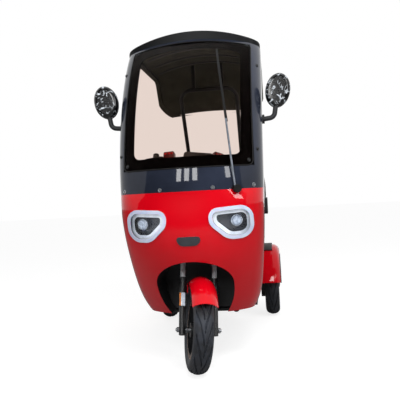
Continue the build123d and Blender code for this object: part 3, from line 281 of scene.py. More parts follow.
def makeFramePaint(spec):
    material, tree = newMaterial("cabFramePaint")
    place = addNode(tree, "ShaderNodeTexCoord").outputs["Object"]
    axes = addNode(tree, "ShaderNodeSeparateXYZ", links={"Vector": place}).outputs
    mottle, tone = addTones(tree, place, {"Scale": 1000.0 / spec["driftMm"], "Detail": 4.0}, spec["paint"])
    across = addNode(tree, "ShaderNodeMath", {"operation": "ABSOLUTE"}, {0: axes["X"]}).outputs[0]
    narrower = {"operation": "LESS_THAN", 1: spec["glassHalf"]}
    inWidth = addNode(tree, "ShaderNodeMath", narrower, {0: across}).outputs[0]
    higher = {"operation": "GREATER_THAN", 1: spec["glassBase"]}
    aboveBase = addNode(tree, "ShaderNodeMath", higher, {0: axes["Z"]}).outputs[0]
    square = addNode(tree, "ShaderNodeMath", {"operation": "MULTIPLY"}, {0: across, 1: across}).outputs[0]
    fall = {"operation": "MULTIPLY_ADD", 1: spec["crestFall"]}
    height = addNode(tree, "ShaderNodeMath", fall, {0: square, 2: axes["Z"]}).outputs[0]
    lower = {"operation": "LESS_THAN", 1: spec["glassCrest"]}
    underCrest = addNode(tree, "ShaderNodeMath", lower, {0: height}).outputs[0]
    both = addNode(tree, "ShaderNodeMath", {"operation": "MULTIPLY"}, {0: inWidth, 1: aboveBase}).outputs[0]
    inside = addNode(tree, "ShaderNodeMath", {"operation": "MULTIPLY"}, {0: both, 1: underCrest}).outputs[0]
    printed = {"data_type": "RGBA", 7: hexColor(spec["border"])}
    color = addNode(tree, "ShaderNodeMix", printed, {0: inside, 6: tone})
    low, high = spec["rough"]
    gloss = addNode(tree, "ShaderNodeMapRange", {"To Min": low, "To Max": high}, {"Value": mottle})
    peel = addNode(tree, "ShaderNodeTexNoise", {"Scale": 1000.0 / spec["peelMm"]}, {"Vector": place})
    lift = {"Distance": spec["peelDepthMm"] / 1000.0, "Strength": spec["peelStrength"]}
    bump = addNode(tree, "ShaderNodeBump", lift, {"Height": peel.outputs["Fac"]})
    clear = addNode(tree, "ShaderNodeMath", {"operation": "SUBTRACT", 0: 1.0}, {1: inside})
    settings = {"Specular IOR Level": 0.0, "Coat IOR": 1.34, "Coat Roughness": 0.05}
    links = {"Coat Weight": clear.outputs[0], "Base Color": color.outputs[2],
             "Roughness": gloss.outputs["Result"], "Normal": bump.outputs["Normal"]}
    finishMaterial(tree, addNode(tree, "ShaderNodeBsdfPrincipled", settings, links))
    return material


framePaint = makeFramePaint(frameSpec)

# clear wrapping film over the mirror heads: black plastic that shows between white creases of the film; their
# white is partly milky film and partly painted highlight
filmSpec = {"plastic": "#08090a", "crease": "#dfe6ee", "creaseMm": 60, "fineMm": 26, "depthMm": 3.0,
            "strength": 0.7, "creaseHalf": 0.06, "patchFrom": 0.46, "patchFade": 0.1, "rough": (0.2, 0.4)}


def makeWrappedPlastic(spec):
    material, tree = newMaterial("wrappedPlastic")
    place = addNode(tree, "ShaderNodeTexCoord").outputs["Object"]
    folds = {"Scale": 1000.0 / spec["creaseMm"], "Detail": 1.5, "Distortion": 1.6}
    large = addNode(tree, "ShaderNodeTexNoise", folds, {"Vector": place}).outputs["Fac"]
    wrinkles = {"Scale": 1000.0 / spec["fineMm"], "Detail": 2.0}
    fine = addNode(tree, "ShaderNodeTexNoise", wrinkles, {"Vector": place}).outputs["Fac"]
    middle = addNode(tree, "ShaderNodeMath", {"operation": "SUBTRACT", 1: 0.5}, {0: large}).outputs[0]
    ridge = addNode(tree, "ShaderNodeMath", {"operation": "ABSOLUTE"}, {0: middle}).outputs[0]
    narrow = {"From Min": spec["creaseHalf"], "From Max": 0.0, "To Max": 1.0}
    line = addNode(tree, "ShaderNodeMapRange", narrow, {"Value": ridge}).outputs["Result"]
    broken = {"From Min": spec["patchFrom"], "From Max": spec["patchFrom"] + spec["patchFade"]}
    patch = addNode(tree, "ShaderNodeMapRange", broken, {"Value": fine}).outputs["Result"]
    # white of the creases: partly milky film, partly painted highlight of the crinkled wrap
    milkyAndGlint = addNode(tree, "ShaderNodeMath", {"operation": "MULTIPLY"}, {0: line, 1: patch}).outputs[0]
    ends = {"data_type": "RGBA", 6: hexColor(spec["plastic"]), 7: hexColor(spec["crease"])}
    color = addNode(tree, "ShaderNodeMix", ends, {0: milkyAndGlint})
    lift = {"Distance": spec["depthMm"] / 1000.0, "Strength": spec["strength"]}
    crease = addNode(tree, "ShaderNodeBump", lift, {"Height": milkyAndGlint})
    low, high = spec["rough"]
    gloss = addNode(tree, "ShaderNodeMapRange", {"To Min": low, "To Max": high}, {"Value": fine})
    settings = {"Specular IOR Level": 0.2, "Coat Weight": 0.7, "Coat Roughness": 0.05}
    links = {"Base Color": color.outputs[2], "Roughness": gloss.outputs["Result"],
             "Normal": crease.outputs["Normal"]}
    finishMaterial(tree, addNode(tree, "ShaderNodeBsdfPrincipled", settings, links))
    return material


wrappedPlastic = makeWrappedPlastic(filmSpec)

slotLooks = {
    "red_gloss": redLacquer, "band_gloss": framePaint, "black_gloss": blackGlossAbs,
    "screen_glass": screenGlass, "lamp_ring": opalRing, "lamp_bowl": lampMask, "lamp_glass": lensGlass,
    "lamp_eye": projectorFacets,
    "black_plastic": blackPolypropylene, "deck_rubber": matRubber, "seat_leather": vinylLeather,
    "black_steel": powderCoat, "black_rubber": epdmRubber, "chrome": chromedSteel, "plain_steel": zincPlate,
    "tyre_rubber": tyreRubber, "rim_paint": powderCoat, "cast_alloy": castAluminium, "tail_red": redAcrylic,
    "mirror_glass": silverGlass,
}
for part in frame["record"]["subparts"]:
    setMaterial(nodes[part["node"]], slotLooks[part["material_slot"]])
setMaterial(nodes["mirror_heads"], wrappedPlastic)
setMaterial(nodes["nose_badge"], slateAbs)
# fork tubes: near-white chrome, painted light against the shade inside the wheel arch
setMaterial(nodes["fork_stanchions"], chromeWithPaintedLight)
print("stage: materials")


def makePiece(name, bm, material, body, sharpDeg=40.0):
    bmesh.ops.recalc_face_normals(bm, faces=bm.faces)
    mesh = bpy.data.meshes.new(name)
    bm.to_mesh(mesh)
    bm.free()
    mesh.shade_smooth()
    mesh.set_sharp_from_angle(angle=math.radians(sharpDeg))
    piece = bpy.data.objects.new(name, mesh)
    scene.collection.objects.link(piece)
    setMaterial(piece, material)
    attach(piece, body)
    return piece


def rayTree(*names):
    points, faces = [], []
    for name in names:
        mesh = nodes[name].data
        start = len(points)
        points.extend(vertex.co.copy() for vertex in mesh.vertices)
        faces.extend([start + index for index in polygon.vertices] for polygon in mesh.polygons)
    return BVHTree.FromPolygons(points, faces)


clearOfPart = 3.0  # metres, ahead of the part and behind it


# point and normal where a line along y first meets a skin: ahead is 1 from the front, -1 from behind
def meet(skin, x, z, ahead=1):
    return skin.ray_cast(Vector((x, -ahead * clearOfPart, z)), Vector((0, ahead, 0)))[:2]


def standOn(place, normal):
    return Matrix.Translation(place) @ Vector((0, 0, 1)).rotation_difference(normal).to_matrix().to_4x4()


# second finish on those faces of a node that the test picks
def splitFinish(node, first, second, test):
    setMaterial(node, first, second)
    for polygon in node.data.polygons:
        polygon.material_index = 1 if test(polygon) else 0


# rims: rose-gold lip, black barrel and spokes; faces past the lip radius take the second finish
rimSpec = {"lipRadius": 0.1335, "spins": {"front_rim": "front_wheel_spin", "rear_left_rim": "rear_left_spin",
                                          "rear_right_rim": "rear_right_spin"}}
for rim, jointName in rimSpec["spins"].items():
    hub = Vector(joints[jointName]["pos_m"])
    axle = Vector(joints[jointName]["axis"]).normalized()
    splitFinish(nodes[rim], powderCoat, roseAnodised,
                lambda polygon: axle.cross(polygon.center - hub).length > rimSpec["lipRadius"])

# lamp bowls: bright wall and ledge behind the lens, smoked eye below them
bowlSpec = {"eyeDepth": 0.034}
lensSkin = rayTree("headlamp_lenses")


def onLedge(polygon):
    place = polygon.center
    hit = meet(lensSkin, place.x, place.z)[0]
    return hit is not None and place.y - hit.y < bowlSpec["eyeDepth"]


splitFinish(nodes["headlamp_bowls"], lampMask, lampReflector, onLedge)

# roof: gloss shell, felt lining on what faces down, darkened also as painted shade; wiper arm: grey up to the
# blade's carrier
roofSpec = {"liningAndShadeNormal": -0.2}
wiperSpec = {"greyFrom": 0.945, "greyTo": 1.27}
splitFinish(nodes["roof"], blackGlossAbs, liningWithPaintedShade,
            lambda polygon: polygon.normal.z < roofSpec["liningAndShadeNormal"])
splitFinish(nodes["wiper_arm"], epdmRubber, greyArmPaint,
            lambda polygon: wiperSpec["greyFrom"] < polygon.center.z < wiperSpec["greyTo"])

# tyres: carcass spun from its section, flame-shaped grooves pressed into the tread
tyreSpec = {"radius": 0.215, "shoulderDrop": 0.015, "shoulderHalf": 0.041, "bulgeHalf": 0.05,
            "beadHalf": 0.034, "beadRadius": 0.132, "beadHeight": 0.010, "steps": 432, "treadColumns": 38,
            "wallColumns": 7, "treadMargin": 0.0005, "pitches": 11, "sideLead": 0.5, "grooveDepth": 0.0065,
            "grooveTaper": 5, "grooveWall": 4,
            "grooves": [{"lead": 0.0, "start": 0.002, "end": 0.037, "length": 1.5, "half": 0.0036},
                        {"lead": 0.42, "start": 0.015, "end": 0.04, "length": 0.95, "half": 0.003},
                        {"lead": 0.75, "start": 0.007, "end": 0.022, "length": 0.6, "half": 0.0025}]}


def tyreSection(spec):
    crown = (spec["shoulderHalf"] ** 2 + spec["shoulderDrop"] ** 2) / (2 * spec["shoulderDrop"])
    reach = math.asin(spec["shoulderHalf"] / crown)
    points = []
    for column in range(spec["treadColumns"] + 1):
        angle = reach * (2.0 * column / spec["treadColumns"] - 1.0)
        points.append((crown * math.sin(angle), spec["radius"] - crown + crown * math.cos(angle)))
    shoulder = (spec["shoulderHalf"], spec["radius"] - spec["shoulderDrop"])
    bead = (spec["beadHalf"], spec["beadRadius"] + spec["beadHeight"])
    bulge = (spec["bulgeHalf"], (shoulder[1] + bead[1]) / 2)
    wall = []
    for step in range(1, spec["wallColumns"] + 1):
        t = step / spec["wallColumns"]
        weights = (2 * (t - 0.5) * (t - 1), 4 * t * (1 - t), 2 * t * (t - 0.5))  # parabola through all three
        pairs = list(zip(weights, (shoulder, bulge, bead)))
        wall.append(tuple(sum(w * p[axis] for w, p in pairs) for axis in (0, 1)))
    points += wall + [(spec["beadHalf"], spec["beadRadius"]), (-spec["beadHalf"], spec["beadRadius"])]
    return points + [(-x, r) for x, r in reversed(wall)]


def grooveDepth(spec, angle, across):
    turn = angle * spec["pitches"] / (2 * math.pi) + (spec["sideLead"] if across > 0 else 0.0)
    deepest = 0.0
    for groove in spec["grooves"]:
        for lap in (0, 1):
            share = ((turn + groove["lead"]) % 1.0 + lap) / groove["length"]
            if share > 1.0:
                continue
            ease = share * share * (3 - 2 * share)
            line = groove["start"] + (groove["end"] - groove["start"]) * ease
            half = groove["half"] * min(1.0, spec["grooveTaper"] * share, spec["grooveTaper"] * (1 - share))
            near = abs(abs(across) - line) / max(half, 1e-6)
            deepest = max(deepest, max(0.0, 1.0 - near ** spec["grooveWall"]) * spec["grooveDepth"])
    return deepest


def makeTyre(name, node, jointName, body, spec):
    bm = bmesh.new()
    ring = [bm.verts.new((x, 0.0, r)) for x, r in tyreSection(spec)]
    edges = [bm.edges.new((ring[i], ring[(i + 1) % len(ring)])) for i in range(len(ring))]
    bmesh.ops.spin(bm, geom=ring + edges, cent=(0, 0, 0), axis=(1, 0, 0), angle=2 * math.pi,
                   steps=spec["steps"], use_merge=True)
    treadEdge = spec["radius"] - spec["shoulderDrop"] + spec["treadMargin"]
    for vertex in bm.verts:
        radius = math.hypot(vertex.co.y, vertex.co.z)
        if radius > treadEdge:
            depth = grooveDepth(spec, math.atan2(vertex.co.y, vertex.co.z), vertex.co.x)
            vertex.co.yz = vertex.co.yz * ((radius - depth) / radius)
    axle = Vector(joints[jointName]["axis"]).normalized()
    turn = Vector((1, 0, 0)).rotation_difference(axle).to_matrix().to_4x4()
    bmesh.ops.transform(bm, matrix=Matrix.Translation(joints[jointName]["pos_m"]) @ turn, verts=bm.verts)
    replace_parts(makePiece(name, bm, tyreRubber, body, 60.0), node)


makeTyre("frontTyreTread", "front_tyre", "front_wheel_spin", "front_wheel", tyreSpec)
makeTyre("rearLeftTyreTread", "rear_left_tyre", "rear_left_spin", "rear_left_wheel", tyreSpec)
makeTyre("rearRightTyreTread", "rear_right_tyre", "rear_right_spin", "rear_right_wheel", tyreSpec)
print("stage: tyres")

# screws: band, glass corners and pillar; x and z in metres, y found on the surface
screwSpec = {
    "radius": 0.0075, "taper": 0.8, "height": 0.0045, "socketInset": 0.4, "socketDepth": 0.6, "segments": 20,
    "washer": 0.0105, "washerTaper": 0.94, "washerThick": 0.0012,
    "bright": [(-0.327, 0.927), (-0.130, 0.924), (0.130, 0.924), (0.324, 0.929)],
    "black": [(-0.306, 1.052), (0.306, 1.052), (-0.312, 1.716), (0.312, 1.716), (0.3655, 1.582),
              (0.350, 1.107), (-0.3655, 1.582), (-0.350, 1.107)],
}


def addScrew(bm, place, normal, spec):
    turn = standOn(place, normal)
    thick, tall = spec["washerThick"], spec["height"]
    bmesh.ops.create_cone(bm, cap_ends=True, segments=spec["segments"], radius1=spec["washer"],
                          radius2=spec["washer"] * spec["washerTaper"], depth=thick,
                          matrix=turn @ Matrix.Translation((0, 0, thick / 2)))
    head = bmesh.ops.create_cone(bm, cap_ends=True, segments=spec["segments"], radius1=spec["radius"],
                                 radius2=spec["radius"] * spec["taper"], depth=tall,
                                 matrix=turn @ Matrix.Translation((0, 0, thick + tall / 2)))
    caps = [face for face in {f for v in head["verts"] for f in v.link_faces} if len(face.verts) > 4]
    top = max(caps, key=lambda face: (face.calc_center_median() - place).dot(normal))
    bmesh.ops.inset_individual(bm, faces=[top], thickness=spec["radius"] * spec["socketInset"], depth=0.0)
    bmesh.ops.translate(bm, verts=top.verts, vec=-normal * tall * spec["socketDepth"])


def makeScrews(spec):
    skin = rayTree("screen_frame", "windscreen")
    kinds = (("bright", zincPlate, "plain_steel"), ("black", powderCoat, "black_steel"))
    for kind, finish, slotName in kinds:
        bm = bmesh.new()
        for x, z in spec[kind]:
            place, normal = meet(skin, x, z)
            addScrew(bm, place, normal if normal.y < 0 else -normal, spec)
        makePiece(kind + "CabScrews", bm, finish, "chassis")


makeScrews(screwSpec)

# black rubber bead round the edge of the screen
sealSpec = {"half": (0.326, 0.334), "base": 1.026, "cornerTop": 1.726, "crest": 1.764, "round": 0.026,
            "baseTurn": 90.0, "topTurn": 80.0, "cornerSteps": 5, "perSide": 26, "radius": 0.0034,
            "tuck": 0.998}


def sealOutline(spec):
    low, high = spec["half"]
    base, top, r = spec["base"], spec["cornerTop"], spec["round"]
    n, turns = spec["perSide"], spec["cornerSteps"]
    run = [((2.0 * step / n - 1.0) * (low - r), base) for step in range(n + 1)]
    for step in range(1, turns + 1):
        a = math.radians(spec["baseTurn"] * step / turns)
        run.append((low - r + r * math.sin(a), base + r - r * math.cos(a)))
    for step in range(1, n):
        t = step / n
        run.append((low + (high - low) * t, base + r + (top - 2 * r - base) * t))
    for step in range(turns + 1):
        a = math.radians(spec["topTurn"] * step / turns)
        run.append((high - r + r * math.cos(a), top - r + r * math.sin(a)))
    for step in range(1, n):
        x = (1.0 - 2.0 * step / n) * (high - r)
        run.append((x, spec["crest"] - (spec["crest"] - top) * (x / (high - r)) ** 2))
    half = [(x, z) for x, z in run if x > 1e-6]
    return half + [(-x, z) for x, z in reversed(half)]


def makeSeal(spec):
    skin = rayTree("screen_frame", "windscreen")
    data = bpy.data.curves.new("screenSeal", "CURVE")
    data.dimensions = "3D"
    data.bevel_depth = spec["radius"]
    data.bevel_resolution = 2
    spline = data.splines.new("POLY")
    hits = [meet(skin, x * spec["tuck"], z)[0] for x, z in sealOutline(spec)]
    points = [place for place in hits if place is not None]
    spline.points.add(len(points) - 1)
    for point, place in zip(spline.points, points):
        point.co = (*place, 1.0)
    spline.use_cyclic_u = True
    carrier = bpy.data.objects.new("sealCurve", data)
    scene.collection.objects.link(carrier)
    bm = bmesh.new()
    bm.from_mesh(bpy.data.meshes.new_from_object(carrier))
    bpy.data.objects.remove(carrier)
    makePiece("screenSeal", bm, epdmRubber, "chassis", 80.0)


makeSeal(sealSpec)

# rounded inner corners of the window opening, behind the glass; each row is x, z, up or down, and the
# slope of the rail there
cornerSpec = {"corners": [(0.270, 1.082, -1, 0.0), (0.278, 1.670, 1, 0.24)], "round": 0.034, "bite": 0.003,
              "behind": 0.0006, "thick": 0.006, "steps": 10}


def makeWindowCorners(spec):
    skin = rayTree("windscreen")
    bm = bmesh.new()
    r, bite = spec["round"], spec["bite"]
    for x, z, rise, slope in spec["corners"]:
        outline = [(x + bite, z + rise * bite), (x - r, z + rise * bite)]
        for step in range(spec["steps"] + 1):
            turn = math.radians(90.0 * step / spec["steps"])
            outline.append((x - r + r * math.sin(turn), z - rise * r + rise * r * math.cos(turn)))
        outline.append((x + bite, z - rise * r))
        for side in (-1, 1):
            verts = []
            for across, height in outline:
                place = meet(skin, side * across, height + slope * max(0.0, x - across), -1)[0]
                verts.append(bm.verts.new(place + Vector((0, spec["behind"], 0))))
            web = bmesh.ops.extrude_face_region(bm, geom=[bm.faces.new(verts)], use_keep_orig=True)
            back = [item for item in web["geom"] if isinstance(item, bmesh.types.BMVert)]
            bmesh.ops.translate(bm, verts=back, vec=(0, spec["thick"], 0))
    bmesh.ops.triangulate(bm, faces=[face for face in bm.faces if len(face.verts) > 4])
    makePiece("windowCorners", bm, framePaint, "chassis")


makeWindowCorners(cornerSpec)
print("stage: screws and seal")

# projector lenses: a clear dome in a bright rim, one in each lamp
projectorSpec = {"radius": 0.0255, "rim": 0.0035, "rimWall": 0.004, "rimCrest": 0.0055, "rimSteps": 36,
                 "dome": 0.012, "across": 0.233, "height": 0.760}


def makeProjectors(spec):
    skin = rayTree("headlamp_projectors")
    domes, rims = bmesh.new(), bmesh.new()
    outer, inner = spec["radius"], spec["radius"] - spec["rim"]
    section = [(outer, 0.0), (outer, spec["rimWall"]), (outer - spec["rim"] / 2, spec["rimCrest"]),
               (inner, spec["rimWall"]), (inner, 0.0)]
    squat = Matrix.Diagonal((1, 1, spec["dome"] / outer, 1))
    for side in (-1, 1):
        place, normal = meet(skin, side * spec["across"], spec["height"])
        turn = standOn(place, -normal if normal.y > 0 else normal)
        bmesh.ops.create_uvsphere(domes, u_segments=28, v_segments=14, radius=inner, matrix=turn @ squat)
        ring = [rims.verts.new(turn @ Vector((x, 0, z))) for x, z in section]
        edges = [rims.edges.new(pair) for pair in zip(ring, ring[1:] + ring[:1])]
        bmesh.ops.spin(rims, geom=ring + edges, cent=place, axis=turn.to_3x3() @ Vector((0, 0, 1)),
                       angle=2 * math.pi, steps=spec["rimSteps"], use_merge=True)
    makePiece("projectorDomes", domes, lensGlass, "chassis", 80.0)
    makePiece("projectorRims", rims, chromedSteel, "chassis", 50.0)


makeProjectors(projectorSpec)

# steering frame: x along the axle, z up the raked head axis, y backwards
steerUp = Vector(joints["steering"]["axis"]).normalized()
steerSide = Vector(joints["front_wheel_spin"]["axis"]).normalized()
steerBack = steerUp.cross(steerSide)
steerFoot = Vector(joints["steering"]["pos_m"])
steerFrame = Matrix.Translation(steerFoot) @ Matrix((steerSide, steerBack, steerUp)).transposed().to_4x4()


def addBlock(bm, size, place, bevel, segments=3):
    made = bmesh.ops.create_cube(bm, size=1.0, matrix=place @ Matrix.Diagonal((*size, 1.0)))
    edges = list({edge for vertex in made["verts"] for edge in vertex.link_edges})
    bmesh.ops.bevel(bm, geom=edges, offset=bevel, segments=segments, affect="EDGES", profile=0.5, material=-1,
                    clamp_overlap=True)


# side reflector strapped to the right fork leg: white to the front, amber to the side
reflectorSpec = {"white": (0.021, 0.008, 0.068), "amber": (0.007, 0.022, 0.068), "bevel": 0.002, "gap": 0.002,
                 "amberOut": 0.004, "amberBack": 0.002, "legX": -0.083, "legY": -0.035, "legRadius": 0.017,
                 "height": 0.15, "strapLifts": (-0.02, 0.02), "strapThick": 0.0025, "strapWide": 0.008}


def makeReflector(spec):
    width, depth = spec["white"][:2]
    x, z = spec["legX"], spec["height"]
    legFront = spec["legY"] - spec["legRadius"]
    white, amber, straps = bmesh.new(), bmesh.new(), bmesh.new()
    ahead = Matrix.Translation((x, legFront - depth / 2 - spec["gap"], z))
    addBlock(white, spec["white"], steerFrame @ ahead, spec["bevel"])
    beside = Matrix.Translation((x - width / 2 - spec["amberOut"], legFront + spec["amberBack"], z))
    addBlock(amber, spec["amber"], steerFrame @ beside, spec["bevel"])
    radius = spec["legRadius"] + spec["strapThick"]
    for lift in spec["strapLifts"]:
        bmesh.ops.create_cone(straps, cap_ends=True, segments=28, radius1=radius, radius2=radius,
                              depth=spec["strapWide"],
                              matrix=steerFrame @ Matrix.Translation((x, spec["legY"], z + lift)))
    makePiece("forkReflectorLens", white, whiteAcrylic, "fork")
    makePiece("forkReflectorAmber", amber, amberAcrylic, "fork")
    makePiece("forkReflectorStraps", straps, epdmRubber, "fork")


makeReflector(reflectorSpec)

# switch pods beside the grips, with red keys, and the brake's fluid cup; each pod's x axis is along the bar
switchSpec = {
    "pods": [((-0.158, -0.378, 1.116), (0.9928, -0.1096, 0.0488)),
             ((0.112, -0.324, 1.098), (0.7783, 0.5736, -0.2554))],
    "size": (0.064, 0.046, 0.056), "podBevel": 0.009,
    "key": (0.015, 0.006, 0.013), "keyBevel": 0.002, "keyPlaces": (-0.018, 0.004, 0.021), "keyLift": 0.012,
    "cup": (-0.236, -0.372, 1.124), "cupRadius": 0.019, "cupTaper": 0.9, "cupTall": 0.03, "cupBevel": 0.004}


def makeSwitches(spec):
    pods, keys, cup = bmesh.new(), bmesh.new(), bmesh.new()
    for centre, along in spec["pods"]:
        side = Vector(along).normalized()
        up = (steerUp - side * steerUp.dot(side)).normalized()
        place = Matrix.Translation(centre) @ Matrix((side, up.cross(side), up)).transposed().to_4x4()
        addBlock(pods, spec["size"], place, spec["podBevel"], 4)
        for offset in spec["keyPlaces"]:
            for front in (-1, 1):
                seat = Matrix.Translation((offset, front * spec["size"][1] / 2, spec["keyLift"]))
                addBlock(keys, spec["key"], place @ seat, spec["keyBevel"])
    bmesh.ops.create_cone(cup, cap_ends=True, segments=32, radius1=spec["cupRadius"],
                          radius2=spec["cupRadius"] * spec["cupTaper"], depth=spec["cupTall"],
                          matrix=standOn(spec["cup"], steerUp))
    rims = [edge for edge in cup.edges if any(len(face.verts) > 4 for face in edge.link_faces)]
    bmesh.ops.bevel(cup, geom=rims, offset=spec["cupBevel"], segments=3, affect="EDGES", profile=0.5,
                    material=-1)
    makePiece("switchPods", pods, redSwitchPlastic, "fork")
    makePiece("switchKeys", keys, redAcrylic, "fork")
    makePiece("brakeFluidCup", cup, blackPolypropylene, "fork")


makeSwitches(switchSpec)

# bows under the roof skin, from side to side: flattened tubes, twice as wide as they are tall
bowSpec = {"places": (-0.18, 0.02, 0.22, 0.42), "half": 0.33, "radius": 0.007, "widen": 2, "steps": 28,
           "segments": 10, "underRoof": 1.3}


def makeRoofBows(spec):
    skin = rayTree("roof")
    bm = bmesh.new()
    upright = Matrix.Diagonal((1, spec["widen"], 1, 1)) @ Matrix.Rotation(math.radians(90), 4, "Y")
    for y in spec["places"]:
        hits = []
        for step in range(spec["steps"] + 1):
            x = spec["half"] * (2.0 * step / spec["steps"] - 1.0)
            hits.append(skin.ray_cast(Vector((x, y, spec["underRoof"])), Vector((0, 0, 1)))[0])
        hits = [place for place in hits if place is not None]
        previous = []
        for number, place in enumerate(hits):
            atEnd = number in (0, len(hits) - 1)
            ring = bmesh.ops.create_circle(bm, cap_ends=atEnd, segments=spec["segments"],
                                           radius=spec["radius"], matrix=Matrix.Translation(place) @ upright)
            edges = list({edge for vertex in ring["verts"] for edge in vertex.link_edges})
            if previous:
                bmesh.ops.bridge_loops(bm, edges=previous + edges)
            previous = edges
    makePiece("roofBows", bm, powderCoat, "chassis", 60.0)


makeRoofBows(bowSpec)

# ribs across the tail lamp lenses
tailSpec = {"ribs": 6, "across": 0.215, "size": (0.066, 0.004, 0.005), "proud": 0.0008, "margin": 0.016,
            "bevel": 0.0012}


def makeTailRibs(spec):
    bm = bmesh.new()
    low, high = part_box("tail_lamps")
    y = high[1] - spec["size"][1] / 2 + spec["proud"]
    span = high[2] - low[2] - 2 * spec["margin"]
    for side in (-1, 1):
        for rib in range(spec["ribs"]):
            z = low[2] + spec["margin"] + span * rib / (spec["ribs"] - 1)
            addBlock(bm, spec["size"], Matrix.Translation((side * spec["across"], y, z)), spec["bevel"], 2)
    makePiece("tailLampRibs", bm, redAcrylic, "chassis")


makeTailRibs(tailSpec)

# floor mat with raised ribs on both sides of a bare middle
matSpec = {"half": 0.27, "front": -0.325, "back": -0.045, "base": 0.2855, "thick": 0.003, "edge": 0.001,
           "ribs": 19, "ribWide": 0.007, "ribTall": 0.003, "ribSink": 0.0004, "ribEdge": 0.0012,
           "ribShare": 0.94, "bareHalf": 0.10}


def makeFloorMat(spec):
    bm = bmesh.new()
    length = spec["back"] - spec["front"]
    mid = (spec["front"] + spec["back"]) / 2
    sheet = Matrix.Translation((0, mid, spec["base"] + spec["thick"] / 2))
    addBlock(bm, (2 * spec["half"], length, spec["thick"]), sheet, spec["edge"], 1)
    top = spec["base"] + spec["thick"] + spec["ribTall"] / 2 - spec["ribSink"]
    ribSize = (spec["ribWide"], length * spec["ribShare"], spec["ribTall"])
    for rib in range(spec["ribs"]):
        x = spec["half"] * spec["ribShare"] * (2.0 * rib / (spec["ribs"] - 1) - 1.0)
        if abs(x) >= spec["bareHalf"]:
            addBlock(bm, ribSize, Matrix.Translation((x, mid, top)), spec["ribEdge"], 1)
    makePiece("floorMat", bm, matRubber, "chassis")


makeFloorMat(matSpec)
print("stage: small fittings")

# padded seats: rounded blocks swollen as cloth under pressure, then sewn channels pressed in; a channel's
# row is the axis that it is placed on, its place there, and the two ends of its run
seatSpec = {"shrink": 0.006, "corner": 0.045, "edge": 0.024, "voxel": 0.006, "pressure": 4.0, "frames": 20,
            "quality": 4, "heldDepth": 0.004, "cap": 0.010, "fill": 0.7, "faceAxis": 2, "faceSign": 1,
            "channelDepth": 0.006, "channelHalf": 0.006, "channelFacing": 0.35,
            "channels": [(0, -0.115, -1, 1), (0, 0.115, -1, 1), (1, 0.06, -0.115, 0.115),
                         (1, 0.165, -0.115, 0.115)]}
backSpec = dict(seatSpec, corner=0.060, edge=0.018, faceAxis=1, faceSign=-1,
                channels=[(0, -0.1, -1, 2), (0, 0.1, -1, 2), (2, 0.84, -0.1, 0.1)])
benchChannels = [(0, x, -1, 2) for x in (-0.22, -0.11, 0.0, 0.11, 0.22)]
benchSpec = dict(seatSpec, corner=0.050, edge=0.028, channels=benchChannels)
benchBackSpec = dict(seatSpec, corner=0.080, edge=0.028, faceAxis=1, faceSign=-1, channels=benchChannels)


def roundedBlock(low, high, spec):
    bm = bmesh.new()
    size = [b - a - 2 * spec["shrink"] for a, b in zip(low, high)]
    centre = Vector([(a + b) / 2 for a, b in zip(low, high)])
    bmesh.ops.create_cube(bm, size=1.0, matrix=Matrix.Translation(centre) @ Matrix.Diagonal((*size, 1.0)))
    axis = spec["faceAxis"]
    corner = [e for e in bm.edges if abs(e.verts[0].co[axis] - e.verts[1].co[axis]) > size[axis] / 2]
    bmesh.ops.bevel(bm, geom=corner, offset=spec["corner"], segments=8, affect="EDGES", profile=0.5,
                    material=-1)
    face = max(bm.faces, key=lambda f: f.normal[axis] * spec["faceSign"] * f.calc_area())
    bmesh.ops.bevel(bm, geom=list(face.edges), offset=spec["edge"], segments=5, affect="EDGES", profile=0.5,
                    material=-1)
    bmesh.ops.triangulate(bm, faces=[f for f in bm.faces if len(f.verts) > 4])
    return bm


def swell(piece, spec):
    mesh = piece.data
    start = [vertex.co.copy() for vertex in mesh.vertices]
    axis, sign = spec["faceAxis"], spec["faceSign"]
    rest = min(v[axis] * sign for v in start)
    held = piece.vertex_groups.new(name="held")
    held.add([i for i, v in enumerate(start) if v[axis] * sign < rest + spec["heldDepth"]], 1.0, "REPLACE")
    cloth = piece.modifiers.new("swell", "CLOTH")
    cloth.settings.use_pressure = True
    cloth.settings.uniform_pressure_force = spec["pressure"]
    cloth.settings.effector_weights.gravity = 0.0
    cloth.settings.vertex_group_mass = "held"
    cloth.settings.quality = spec["quality"]
    cloth.point_cache.frame_start = 1
    cloth.point_cache.frame_end = spec["frames"]
    for number in range(1, spec["frames"] + 1):
        scene.frame_set(number)
    evaluated = piece.evaluated_get(bpy.context.evaluated_depsgraph_get())
    swollen = [vertex.co.copy() for vertex in evaluated.data.vertices]
    piece.modifiers.remove(cloth)
    piece.vertex_groups.clear()
    for vertex, before, after in zip(mesh.vertices, start, swollen):
        move = after - before
        vertex.co = before + move * min(1.0, spec["cap"] / max(move.length, 1e-9))
    scene.frame_set(1)


def sewChannels(piece, spec):
    axis, sign = spec["faceAxis"], spec["faceSign"]
    for vertex in piece.data.vertices:
        if vertex.normal[axis] * sign < spec["channelFacing"]:
            continue
        sink = 0.0
        for lineAxis, lineAt, low, high in spec["channels"]:
            other = ({0, 1, 2} - {axis, lineAxis}).pop()
            if low <= vertex.co[other] <= high:
                near = (vertex.co[lineAxis] - lineAt) / spec["channelHalf"]
                sink = max(sink, math.exp(-near * near))
        vertex.co -= vertex.normal * sink * spec["channelDepth"]


